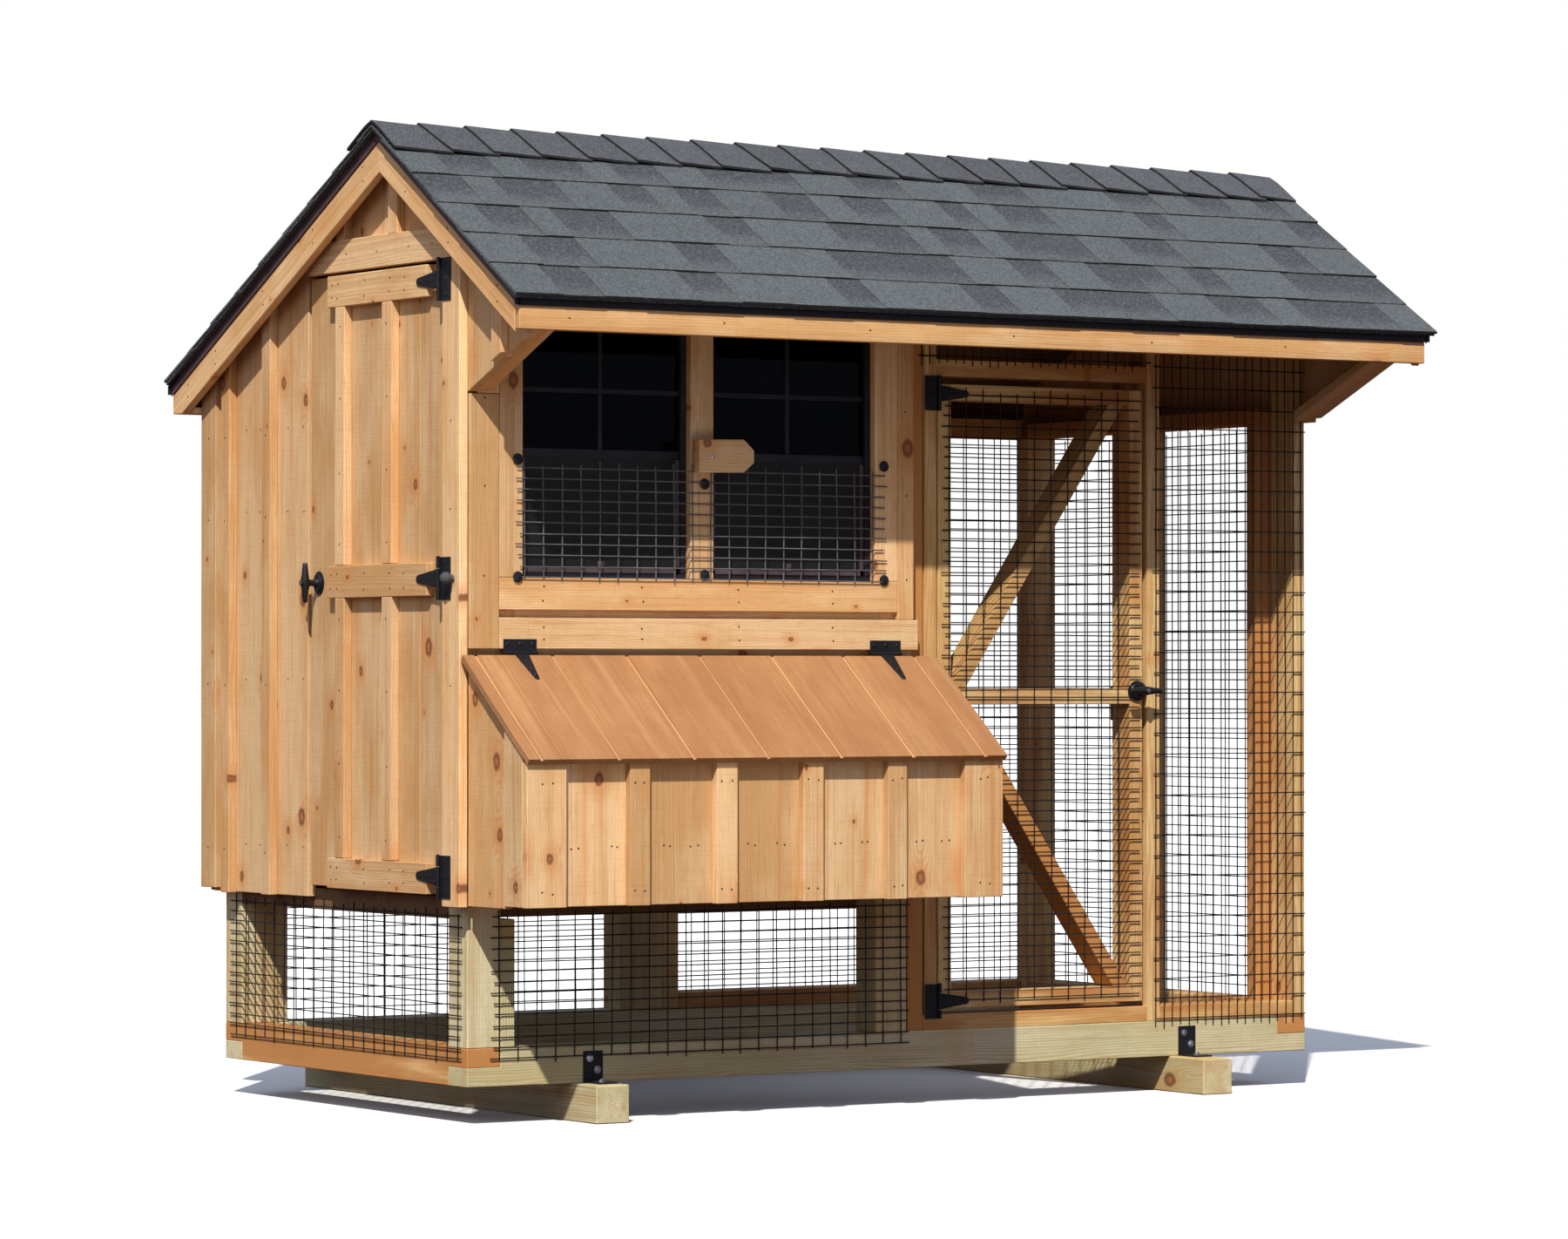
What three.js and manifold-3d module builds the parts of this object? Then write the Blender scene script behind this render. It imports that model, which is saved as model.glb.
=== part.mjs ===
// A 4 ft by 8 ft timber chicken coop: a board-and-batten henhouse on the left, a wire run on the
// right, one off-centre shingled roof over both, and two skids underneath.
//
// Units are millimetres and +Z is up. The origin is on the ground, in the middle of the roof's
// outline. The coop is framed in inch lumber, so its dimensions are given in inches and turned into
// millimetres in one place. A drawing position is [x, y, z] in inches: x from the frame's left end,
// y behind the frame's front face, z above the ground.

import * as THREE from 'three';
import { mergeVertices } from 'three/addons/utils/BufferGeometryUtils.js';
import Module from 'manifold-3d';

const wasm = await Module();
wasm.setup();

// ---------------------------------------------------------------- driving dimensions, inches

const INCH = 25.4;
const clearance = 0.006;            // drawn into every face, so that neighbours stay 0.3 mm apart
const overlap = 0.1;                // how far joined timbers run into each other

const frameLength = 96;
const frameDepth = 48;
const houseLength = 48;

const post = 3.5;                   // a 4x4
const stud = 1.5;                   // the thin side of a 2x4
const board = 0.87;                 // siding boards and battens, rough sawn

const sillBottom = post;            // the sills lie across the skids
const sillTop = sillBottom + post;
const plateTop = sillTop + stud;
const sidingBottom = 19.8;
const floorBottom = 18.7;
const floorTop = 20.7;

const ridgeY = 10.9;                // the ridge stands over the front third of the coop
const ridgeZ = 90.2;                // underside of the roof deck at the ridge
const frontSlope = 0.64;            // rise over run
const backSlope = 0.513;
const deckThickness = 0.9;          // measured upright, as the next one is
const shingleThickness = 0.7;
const eaveFrontY = -15.8;
const eaveBackY = 53.4;
const roofLeft = -4.07;
const roofRight = 100.07;
const rakeReach = 3.23;             // how far the rake boards stand out past the frame's ends
const rakeDepth = 2.9;              // upright
const soffitZ = 66.6;               // where the back eave's boards stop, in one level line
const fasciaFaceY = -15.0;
const fasciaBottom = 71.5;
const rakeBackY = 53.2;

const frontPlateTop = 79.7;
const backPlateTop = 68.1;
const backPlateBottom = 66.1;

const origin = [frameLength / 2, (eaveFrontY + eaveBackY) / 2, 0];

// ---------------------------------------------------------------- materials

const paint = (color, roughness, metalness = 0) =>
  new THREE.MeshStandardMaterial({ color, roughness, metalness });

const freshPine = paint(0xd9a878, 0.75);
const treatedPine = paint(0xc9b483, 0.8);
const cedarPanel = paint(0xb5773f, 0.7);
const shingleGrey = paint(0x4d5456, 0.95);
const blackSteel = paint(0x15161a, 0.4, 0.6);
const wireBlack = paint(0x121212, 0.5, 0.3);
const bronzeFrame = paint(0x1c1a1c, 0.45, 0.4);
const innerWood = paint(0xc8a070, 0.85);

// ---------------------------------------------------------------- helpers

const toWorld = (value, axis) => (value - origin[axis]) * INCH;

// A closed manifold solid from a three.js geometry.
function solid(geometry) {
  const bare = geometry.index ? geometry.toNonIndexed() : geometry.clone();
  bare.deleteAttribute('normal');
  bare.deleteAttribute('uv');
  const merged = mergeVertices(bare, 1e-4);
  return new wasm.Manifold(new wasm.Mesh({
    numProp: 3,
    vertProperties: new Float32Array(merged.attributes.position.array),
    triVerts: new Uint32Array(merged.index.array),
  }));
}

function geometryOf(body) {
  const mesh = body.getMesh();
  const geometry = new THREE.BufferGeometry();
  geometry.setAttribute('position', new THREE.BufferAttribute(new Float32Array(mesh.vertProperties), 3));
  geometry.setIndex(new THREE.BufferAttribute(new Uint32Array(mesh.triVerts), 1));
  geometry.computeVertexNormals();
  return geometry;
}

// A block between two drawing positions, given as ranges along x, y and z.
function block(xRange, yRange, zRange) {
  const low = [];
  const size = [];
  [xRange, yRange, zRange].forEach(([from, to], axis) => {
    low.push(toWorld(from + clearance, axis));
    size.push((to - from - 2 * clearance) * INCH);
  });
  const geometry = new THREE.BoxGeometry(...size);
  geometry.translate(low[0] + size[0] / 2, low[1] + size[1] / 2, low[2] + size[2] / 2);
  return solid(geometry);
}

// A prism along `axis` (0 for x, 1 for y, 2 for z) whose outline is given by the other two
// coordinates, in the order x, y, z.
function prism(axis, [from, to], outline) {
  const others = [0, 1, 2].filter((other) => other !== axis);
  const shape = new THREE.Shape(outline.map(([u, v]) =>
    new THREE.Vector2(toWorld(u, others[0]), toWorld(v, others[1]))));
  const length = (to - from - 2 * clearance) * INCH;
  const geometry = new THREE.ExtrudeGeometry(shape, { depth: length, bevelEnabled: false });
  const start = toWorld(from + clearance, axis);
  const position = geometry.attributes.position;
  for (let i = 0; i < position.count; i += 1) {
    const world = [0, 0, 0];
    world[others[0]] = position.getX(i);
    world[others[1]] = position.getY(i);
    world[axis] = start + position.getZ(i);
    position.setXYZ(i, ...world);
  }
  if (axis === 1) flipFaces(geometry);
  return solid(geometry);
}

function flipFaces(geometry) {
  const position = geometry.attributes.position;
  for (let i = 0; i < position.count; i += 3) {
    const [x, y, z] = [position.getX(i), position.getY(i), position.getZ(i)];
    position.setXYZ(i, position.getX(i + 2), position.getY(i + 2), position.getZ(i + 2));
    position.setXYZ(i + 2, x, y, z);
  }
}

// A round bar along `axis` through `centre`, from one coordinate on that axis to another.
function rod(axis, [from, to], centre, radius, sides = 16) {
  const length = (to - from - 2 * clearance) * INCH;
  const geometry = new THREE.CylinderGeometry(radius * INCH, radius * INCH, length, sides);
  if (axis === 0) geometry.rotateZ(-Math.PI / 2);
  if (axis === 2) geometry.rotateX(Math.PI / 2);
  const middle = [...centre];
  middle[axis] = (from + to) / 2;
  geometry.translate(...middle.map((value, index) => toWorld(value, index)));
  return solid(geometry);
}

const join = (bodies) => bodies.reduce((whole, body) => whole.add(body));
const cut = (body, tools) => tools.reduce((rest, tool) => rest.subtract(tool), body);

const coop = new THREE.Group();

function part(name, body, material) {
  const mesh = new THREE.Mesh(geometryOf(body), material);
  mesh.name = name;
  coop.add(mesh);
}

// Underside of the roof deck at a distance behind the frame's front face.
function deckUnderside(y) {
  return y < ridgeY ? ridgeZ - (ridgeY - y) * frontSlope : ridgeZ - (y - ridgeY) * backSlope;
}

// ---------------------------------------------------------------- skids, sills and bottom plates

const skidReach = 4.4;
const skids = {
  skid_left: { x: [11.05, 14.55], y: [-skidReach, frameDepth + skidReach] },
  skid_right: { x: [79.2, 82.7], y: [-5.5, frameDepth + skidReach] },
};
for (const [name, skid] of Object.entries(skids)) {
  part(name, block(skid.x, skid.y, [-clearance, post]), treatedPine);
}

// The long sills run through at the corners below, the end sills lie in laps above them.
const lapHeight = sillBottom + post / 2;
const runStart = houseLength + stud + 0.4;
const latchJamb = [76.5, 78];
part('base_frame', join([
  block([0, frameLength], [0, post], [sillBottom, lapHeight + overlap]),
  block([0, frameLength], [frameDepth - post, frameDepth], [sillBottom, lapHeight + overlap]),
  block([post - overlap, frameLength - post + overlap], [0, post], [sillBottom, sillTop]),
  block([post - overlap, frameLength - post + overlap], [frameDepth - post, frameDepth],
    [sillBottom, sillTop]),
  block([0, post], [0, frameDepth], [lapHeight, sillTop]),
  block([0, post], [post - overlap, frameDepth - post + overlap], [sillBottom, sillTop]),
  block([frameLength - post, frameLength], [0, frameDepth], [lapHeight, sillTop]),
  block([frameLength - post, frameLength], [post - overlap, frameDepth - post + overlap],
    [sillBottom, sillTop]),
  block([runStart, latchJamb[0]], [0, post], [sillTop - overlap, plateTop]),
  block([latchJamb[1], frameLength - stud], [0, post], [sillTop - overlap, plateTop]),
  block([runStart, frameLength - stud], [frameDepth - post, frameDepth],
    [sillTop - overlap, plateTop]),
  block([frameLength - post, frameLength], [post + stud, frameDepth - post - stud],
    [sillTop - overlap, plateTop]),
]), treatedPine);

// Black steel angles bolt the sills down to the skids.
const angleWidth = 2.05;
const angleLeg = 2.9;
const angleThickness = 0.16;
const boltHead = 0.24;
const boltHeight = 0.2;
const boltSink = 0.05;
const boltSpots = [{ across: 0.62, along: 2.25 }, { across: 1.43, along: 1.15 }];

const ordered = (a, b) => [Math.min(a, b), Math.max(a, b)];

function skidAngle(left, faceY, outward) {
  const x = [left, left + angleWidth];
  const upright = faceY + outward * angleThickness;
  const reach = faceY + outward * angleLeg;
  const footTop = sillBottom + angleThickness;
  const bodies = [
    block(x, ordered(faceY, upright), [sillBottom, sillBottom + angleLeg]),
    block(x, ordered(faceY, reach), [sillBottom, footTop]),
  ];
  const faceEnds = ordered(upright - outward * boltSink, upright + outward * boltHeight);
  for (const { across, along } of boltSpots) {
    const boltX = left + across;
    bodies.push(rod(1, faceEnds, [boltX, 0, sillBottom + along], boltHead, 6));
    bodies.push(rod(2, [footTop - boltSink, footTop + boltHeight],
      [boltX, faceY + outward * along, 0], boltHead, 6));
  }
  return join(bodies);
}

part('skid_bracket_front_left', skidAngle(12.2, 0, -1), blackSteel);
part('skid_bracket_front_right', skidAngle(80.2, 0, -1), blackSteel);
part('skid_bracket_back_left', skidAngle(11.9, frameDepth, 1), blackSteel);
part('skid_bracket_back_right', skidAngle(80.2, frameDepth, 1), blackSteel);

// ---------------------------------------------------------------- posts

// Each henhouse post carries a stud that the wall panel beside it is nailed to. Under the henhouse the
// studs stop below the floor; in the run they reach the top plate.
const frontPostTop = frontPlateTop - stud;
const studUnderFloor = [sillTop, floorBottom];
const frontStrip = [0, post];
const backStrip = [frameDepth - post, frameDepth];

function postWithStuds(x, y, top, studs) {
  const bodies = [block(x, y, [sillTop, top])];
  for (const { x: studX, y: studY, z } of studs) bodies.push(block(studX, studY, z));
  return join(bodies);
}

part('post_front_left', postWithStuds([0, post], frontStrip, frontPostTop,
  [{ x: [post - overlap, post + stud], y: frontStrip, z: studUnderFloor }]), treatedPine);
part('post_back_left', postWithStuds([0, post], backStrip, backPlateBottom,
  [{ x: [post - overlap, post + stud], y: backStrip, z: studUnderFloor }]), treatedPine);
part('post_front_middle', postWithStuds([houseLength - post, houseLength], frontStrip, frontPostTop,
  [{ x: [houseLength - overlap, runStart], y: frontStrip, z: [sillTop, frontPostTop] }]), treatedPine);
part('post_back_middle', postWithStuds([houseLength - post, houseLength], backStrip, backPlateBottom, [
  { x: [houseLength - overlap, runStart], y: backStrip, z: [sillTop, backPlateBottom] },
  { x: [houseLength - post - stud, houseLength - post + overlap], y: backStrip, z: studUnderFloor },
]), treatedPine);

// The run's outer corners are built up from two 2x4s, one edge on and one flat against it.
const rightPostX = [frameLength - post, frameLength];
const rightEdgeX = [frameLength - stud, frameLength];
const innerFront = post;
const innerBack = frameDepth - post;
const runStudHeight = [sillTop, backPlateBottom];
part('post_front_right', postWithStuds(rightEdgeX, frontStrip, frontPostTop, [
  { x: rightPostX, y: [innerFront, innerFront + stud], z: runStudHeight },
  { x: rightEdgeX, y: [innerFront - overlap, innerFront + overlap], z: runStudHeight },
]), treatedPine);
part('post_back_right', postWithStuds(rightEdgeX, backStrip, backPlateBottom, [
  { x: rightPostX, y: [innerBack - stud, innerBack], z: runStudHeight },
  { x: rightEdgeX, y: [innerBack - overlap, innerBack + overlap], z: runStudHeight },
]), treatedPine);

// ---------------------------------------------------------------- floor and upper framing

const floorSheet = 0.6;
const floorY = [post, frameDepth - post];
const joistZ = [floorBottom, floorTop - floorSheet + overlap];
const floorBodies = [
  block([0, houseLength], floorY, [floorTop - floorSheet, floorTop]),
  block([post, houseLength - post], [0, frameDepth], [floorTop - floorSheet, floorTop]),
];
for (const x of [0, 15.5, 31, houseLength - post]) {
  floorBodies.push(block([x, x + post], floorY, joistZ));
}
for (const y of [floorY[0], floorY[1] - stud]) {
  floorBodies.push(block([0, houseLength], [y, y + stud], joistZ));
}
part('floor', join(floorBodies), innerWood);

part('back_top_plate', block([0, frameLength], backStrip, [backPlateBottom, backPlateTop]), treatedPine);

// The front top plate runs the coop's whole length. In the run, a hinge jamb stands on the bottom
// plate and a latch jamb on the sill, joined by the header over the run door.
const hingeJamb = [50.1, 51.5];
const headerHeight = [69.6, 71.2];
part('front_plate_and_door_frame', join([
  block([0, frameLength], frontStrip, [frontPostTop, frontPlateTop]),
  block(hingeJamb, frontStrip, [plateTop, frontPostTop + overlap]),
  block(latchJamb, frontStrip, [sillTop, frontPostTop + overlap]),
  block([hingeJamb[0] + overlap, latchJamb[0] + overlap], frontStrip, headerHeight),
]), treatedPine);

// The run's right end: a middle stud under a top plate that runs between the corner posts.
const endStud = [23.2, 24.7];
part('run_end_frame', join([
  block(rightPostX, endStud, [plateTop, backPlateBottom + overlap]),
  block(rightPostX, [post, frameDepth - post], [backPlateBottom, backPlateBottom + stud]),
]), treatedPine);

// ---------------------------------------------------------------- roof

const roofGap = 0.05;

// A layer of roof between two upright offsets from the deck's underside.
function roofLayer(xRange, yFront, yBack, from, to) {
  const line = (offset) => [
    [yFront, deckUnderside(yFront) + offset],
    [ridgeY, ridgeZ + offset],
    [yBack, deckUnderside(yBack) + offset],
  ];
  return prism(0, xRange, [...line(from), ...line(to).reverse()]);
}

const deckX = [-3.2, 99.2];
const deckY = [-14.95, 53.1];
part('roof_deck', roofLayer(deckX, deckY[0], deckY[1], 0, deckThickness), innerWood);

// Shingles: courses that step down by their exposure, and a run of caps over the ridge.
const exposure = 5.6;
const frontCourse = exposure / Math.hypot(1, frontSlope);
const backCourse = exposure / Math.hypot(1, backSlope);
const topSurface = deckThickness + shingleThickness;
const courseLift = 0.16;

function shingleOutline() {
  const front = [];
  const back = [];
  for (let y = eaveFrontY, first = true; y < ridgeY - 1; y += frontCourse, first = false) {
    if (!first) front.push([y, deckUnderside(y) + topSurface - courseLift]);
    front.push([y, deckUnderside(y) + topSurface]);
  }
  for (let y = eaveBackY, first = true; y > ridgeY + 1; y -= backCourse, first = false) {
    if (!first) back.push([y, deckUnderside(y) + topSurface - courseLift]);
    back.push([y, deckUnderside(y) + topSurface]);
  }
  const bottom = deckThickness + roofGap;
  return [
    [eaveFrontY, deckUnderside(eaveFrontY) + bottom],
    ...front,
    [ridgeY, ridgeZ + topSurface],
    ...back.reverse(),
    [eaveBackY, deckUnderside(eaveBackY) + bottom],
    [ridgeY, ridgeZ + bottom],
  ];
}

const capWidth = 5.4;               // along the slope, each side of the ridge
const capLift = 0.3;
const capFront = ridgeY - capWidth / Math.hypot(1, frontSlope);
const capBack = ridgeY + capWidth / Math.hypot(1, backSlope);
part('shingles', join([
  prism(0, [roofLeft, roofRight], shingleOutline()),
  roofLayer([roofLeft, roofRight], capFront, capBack, deckThickness + 0.2, topSurface + capLift),
]), shingleGrey);

// Rake boards close the roof's ends. Their lower ends are cut upright, behind the front fascia and
// flush with the back one.
function rakeOutline() {
  const frontEnd = fasciaFaceY + board;
  const top = -roofGap;
  const flatFrom = ridgeY + (ridgeZ - rakeDepth - soffitZ) / backSlope;
  return [
    [frontEnd, deckUnderside(frontEnd) - rakeDepth],
    [frontEnd, deckUnderside(frontEnd) + top],
    [ridgeY, ridgeZ + top],
    [rakeBackY, deckUnderside(rakeBackY) + top],
    [rakeBackY, soffitZ],
    [flatFrom, soffitZ],
    [ridgeY, ridgeZ - rakeDepth],
  ];
}
part('rake_boards_left', prism(0, [-rakeReach, -rakeReach + board], rakeOutline()), freshPine);
part('rake_boards_right',
  prism(0, [frameLength + rakeReach - board, frameLength + rakeReach], rakeOutline()), freshPine);

const fasciaInnerY = fasciaFaceY + board;
part('fascia_front', prism(0, [-rakeReach, frameLength + rakeReach], [
  [fasciaFaceY, fasciaBottom],
  [fasciaInnerY - 2 * clearance, fasciaBottom],
  [fasciaInnerY - 2 * clearance, deckUnderside(fasciaInnerY) - roofGap],
  [fasciaFaceY, deckUnderside(fasciaFaceY) - roofGap],
]), freshPine);

// The back fascia stands between the rake boards, and a soffit board closes the eave below it.
const betweenRakes = [-rakeReach + board, frameLength + rakeReach - board];
const soffitFrontY = frameDepth + 2 * board + 0.3;
const soffitThickness = 0.6;
part('fascia_back', join([
  prism(0, betweenRakes, [
    [rakeBackY - board, soffitZ],
    [rakeBackY, soffitZ],
    [rakeBackY, deckUnderside(rakeBackY) - roofGap],
    [rakeBackY - board, deckUnderside(rakeBackY) - roofGap],
  ]),
  block(betweenRakes, [soffitFrontY, rakeBackY - board + overlap], [soffitZ, soffitZ + soffitThickness]),
]), freshPine);

// ---------------------------------------------------------------- siding

const boardFace = -board;
const battenFace = -2 * board;
const braceLow = { y: -1.7, z: 66.6 };
const braceSlope = (71.7 - braceLow.z) / 11.9;
const braceThickness = 1.1;
const braceUnderside = (y) => braceLow.z + (braceLow.y - y) * braceSlope;
const wallTopGap = 0.1;
const overhangEnd = fasciaInnerY + 0.02;

// The siding's outline on the coop's ends, from `bottom` up, with the boards that close the front
// overhang down to the brace's underside.
function gableOutline(bottom, frontY, backY) {
  return [
    [frontY, bottom],
    [backY, bottom],
    [backY, deckUnderside(backY) - wallTopGap],
    [ridgeY, ridgeZ - wallTopGap],
    [overhangEnd, deckUnderside(overhangEnd) - wallTopGap],
    [overhangEnd, braceUnderside(overhangEnd)],
    [braceLow.y, braceLow.z],
    [frontY, braceLow.z],
  ];
}

const battenWidth = 1.76;
const cornerFront = -1.62;          // how far the end walls' battens reach in front and behind
const cornerBack = 50;
const doorOpening = { y: [1.9, 29.16], z: [20.6, 78.75] };
const boardLayer = [boardFace, 0];
const battenLayer = [battenFace, boardFace + overlap];

function leftWall() {
  const outline = gableOutline(sidingBottom, boardFace, frameDepth + board);
  const boards = cut(prism(0, boardLayer, outline), [block([-2, 1], doorOpening.y, doorOpening.z)]);
  const roofTrim = prism(0, battenLayer, gableOutline(sidingBottom, cornerFront, cornerBack));
  const battenStrips = [
    [[-1.6, 1.63], sidingBottom + 0.1],
    [[46.9, cornerBack], sidingBottom + 0.4],
    [[44, 44 + battenWidth], sidingBottom],
    [[35.44, 35.44 + battenWidth], sidingBottom],
    [[20.45, 20.45 + battenWidth], 81.7],
    [[10.2, 10.2 + battenWidth], 81.7],
    [[-9, -9 + battenWidth], 66],
  ];
  const battens = battenStrips.map(([y, bottom]) =>
    block(battenLayer, y, [bottom, ridgeZ]).intersect(roofTrim));
  const headerTrim = block(battenLayer, [1.7, 28.2], [78.75, 81.8]).intersect(roofTrim);
  return join([boards, ...battens, headerTrim]);
}
part('left_wall', leftWall(), freshPine);

// Windows: two openings in the front wall, each 18 inches wide.
const windowX = [[4.8, 22.75], [25.25, 43.25]];
const windowZ = [49.8, 72.9];
const windowFlange = 0.35;
const nestOpening = { x: [5.2, 44.2], z: [22.2, 41.5] };

function frontWall() {
  const openings = windowX.map(([from, to]) => block(
    [from - windowFlange - 0.05, to + windowFlange + 0.05], [-2, 1],
    [windowZ[0] - windowFlange - 0.05, windowZ[1] + windowFlange + 0.05],
  ));
  openings.push(block(nestOpening.x, [-2, 1], nestOpening.z));
  return cut(block([0, houseLength], boardLayer, [sidingBottom, frontPlateTop]), openings);
}
part('front_wall', frontWall(), freshPine);

// Trim on the front wall, all in one plane: corner boards, the casing round the windows, the rail
// that the nest lid hangs from, and the block behind the turn button.
const trimLayer = [battenFace, boardFace];
const trimTop = 78.2;
const casing = { x: [2.35, 45.85], z: [46.85, trimTop] };
const hingeRail = { x: [2.35, 48.2], z: [43.3, 46.15] };
const leftTrim = [-0.75, 2.35];
const rightTrim = [45.85, 47.7];
const buttonPivot = [24, 61.15];
const buttonBlock = { x: [22.9, 25.1], z: [59.8, 62.7], y: [-2.75, -1.6] };
part('front_trim', join([
  block([leftTrim[0], leftTrim[1] + overlap], trimLayer, [43.3, braceLow.z - 0.1]),
  block([0.05, leftTrim[1] + overlap], trimLayer, [braceLow.z - 0.3, trimTop]),
  cut(block(casing.x, trimLayer, casing.z),
    windowX.map((x) => block(x, [-2, 0], windowZ))),
  block([rightTrim[0] - overlap, rightTrim[1]], trimLayer, [hingeRail.z[1] - overlap, trimTop]),
  block(hingeRail.x, trimLayer, hingeRail.z),
  block(buttonBlock.x, buttonBlock.y, buttonBlock.z),
]), freshPine);

// The back wall: boards up to the roof deck, with battens that stop at the back soffit.
function backWall() {
  const top = soffitZ - 0.1;
  const backBoards = [frameDepth, frameDepth + board];
  const backBattens = [frameDepth + board - overlap, frameDepth + 2 * board];
  const boardTop = deckUnderside(backBoards[1]) - wallTopGap;
  const bodies = [block([0, houseLength], backBoards, [sidingBottom, boardTop])];
  const battenPitch = 8.6;
  for (let x = 7; x < houseLength - 2; x += battenPitch) {
    bodies.push(block([x, x + battenWidth], backBattens, [sidingBottom, top]));
  }
  for (const x of [[0, 2.3], [houseLength - 2.6, houseLength]]) {
    bodies.push(block(x, backBattens, [sidingBottom, top]));
  }
  // The left corner batten covers the end of the left wall's siding.
  bodies.push(block([-0.75, overlap], [frameDepth + board, backBattens[1]], [sidingBottom, top]));
  return join(bodies);
}
part('back_wall', backWall(), freshPine);

// The partition between henhouse and run, with the hens' pop hole.
const partition = [houseLength, houseLength + board];
const partitionY = [post + 0.02, frameDepth - post - 0.02];
const partitionTopGap = 0.3;
const popHole = { y: [28.8, 39.2], z: [21.6, 42] };
part('partition_wall', cut(prism(0, partition, [
  [partitionY[0], floorBottom],
  [partitionY[1], floorBottom],
  [partitionY[1], deckUnderside(partitionY[1]) - partitionTopGap],
  [ridgeY, ridgeZ - partitionTopGap],
  [partitionY[0], deckUnderside(partitionY[0]) - partitionTopGap],
]), [block([houseLength - 1, houseLength + 2], popHole.y, popHole.z)]), freshPine);

// Siding on the right gable, over the run's end wire.
const gableBottom = 66.2;
function rightGable() {
  const layer = [frameLength, frameLength + board];
  const battens = [frameLength + board - overlap, frameLength + 2 * board];
  const outline = gableOutline(gableBottom, boardFace, frameDepth + board);
  const trim = prism(0, battens, outline);
  const bodies = [prism(0, layer, outline)];
  for (let y = 1.5; y < frameDepth; y += 8.7) {
    bodies.push(block(battens, [y, y + battenWidth], [gableBottom, ridgeZ]).intersect(trim));
  }
  return join(bodies);
}
part('right_gable', rightGable(), freshPine);

// Braces from the wall to the fascia, inside the siding of the front overhang and level with its lower
// edge.
function overhangBrace(xRange, wallY) {
  const top = braceThickness - roofGap;
  return prism(0, xRange, [
    [wallY, braceUnderside(wallY)],
    [wallY, braceUnderside(wallY) + top],
    [overhangEnd, braceUnderside(overhangEnd) + top],
    [overhangEnd, braceUnderside(overhangEnd)],
  ]);
}
part('overhang_brace_left', overhangBrace([0, 1.4], battenFace - 0.02), freshPine);
part('overhang_brace_right', overhangBrace([93.9, frameLength], boardFace - 0.02), freshPine);

// ---------------------------------------------------------------- windows

// Each window is a frame with a fixed, divided upper pane. The lower sash runs up and down behind it
// and stands raised, so the lower half is open.
const frameBar = 0.85;
const windowY = [-0.86, 0.9];
const sashBar = 0.75;
const sashHeight = 11.6;
const meetingRail = [60.9, 61.7];
const paneThickness = 0.12;
const muntin = 0.45;

function dividedPane([x0, x1], [z0, z1], yPane, yBars) {
  const midX = (x0 + x1) / 2;
  const midZ = (z0 + z1) / 2;
  return [
    block([x0 - overlap, x1 + overlap], [yPane, yPane + paneThickness], [z0 - overlap, z1 + overlap]),
    block([midX - muntin / 2, midX + muntin / 2], yBars, [z0 - overlap, z1 + overlap]),
    block([x0 - overlap, x1 + overlap], yBars, [midZ - muntin / 2, midZ + muntin / 2]),
  ];
}

function ring([x0, x1], y, [z0, z1], bar) {
  return cut(block([x0, x1], y, [z0, z1]),
    [block([x0 + bar, x1 - bar], [y[0] - 1, y[1] + 1], [z0 + bar, z1 - bar])]);
}

windowX.forEach(([from, to], index) => {
  const side = index === 0 ? 'left' : 'right';
  const outer = [from - windowFlange, to + windowFlange];
  const height = [windowZ[0] - windowFlange, windowZ[1] + windowFlange];
  const inner = [outer[0] + frameBar, outer[1] - frameBar];
  part(`window_${side}`, join([
    ring(outer, windowY, height, frameBar),
    block([inner[0] - overlap, inner[1] + overlap], [-0.5, 0], meetingRail),
    ...dividedPane(inner, [meetingRail[1], height[1] - frameBar], -0.3, [-0.36, -0.1]),
  ]), bronzeFrame);

  const sashX = [inner[0] + 0.05, inner[1] - 0.05];
  const sashBottom = height[1] - frameBar - 0.1 - sashHeight;
  const sashZ = [sashBottom, sashBottom + sashHeight];
  const sashInnerX = [sashX[0] + sashBar, sashX[1] - sashBar];
  const sashInnerZ = [sashZ[0] + sashBar, sashZ[1] - sashBar];
  const middle = (from + to) / 2;
  part(`sash_${side}`, join([
    ring(sashX, [0.12, 0.62], sashZ, sashBar),
    ...dividedPane(sashInnerX, sashInnerZ, 0.3, [0.22, 0.5]),
    block([middle - 0.4, middle + 0.4], [0.5, 0.85], [sashZ[0] + 0.2, sashZ[0] + 0.6]),
  ]), bronzeFrame);
});

// ---------------------------------------------------------------- wire

// A flat welded-wire panel: a sheet along `axis` with its openings drawn at a coarse pitch.
const wireThickness = 0.1;
const wireBar = 0.3;
const wirePitch = 8;

function wirePanel(axis, at, uRange, zRange, pitch = wirePitch) {
  const layer = [at, at + wireThickness];
  const box = (u, z, across) => (axis === 0 ? block(across, u, z) : block(u, across, z));
  const columns = Math.max(1, Math.round((uRange[1] - uRange[0]) / pitch));
  const rows = Math.max(1, Math.round((zRange[1] - zRange[0]) / pitch));
  const stepU = (uRange[1] - uRange[0] - wireBar) / columns;
  const stepZ = (zRange[1] - zRange[0] - wireBar) / rows;
  const through = [at - 1, at + 1];
  const holes = [];
  for (let i = 0; i < columns; i += 1) {
    for (let j = 0; j < rows; j += 1) {
      const u = uRange[0] + wireBar + i * stepU;
      const z = zRange[0] + wireBar + j * stepZ;
      holes.push(box([u, u + stepU - wireBar], [z, z + stepZ - wireBar], through));
    }
  }
  return cut(box(uRange, zRange, layer), holes);
}

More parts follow.
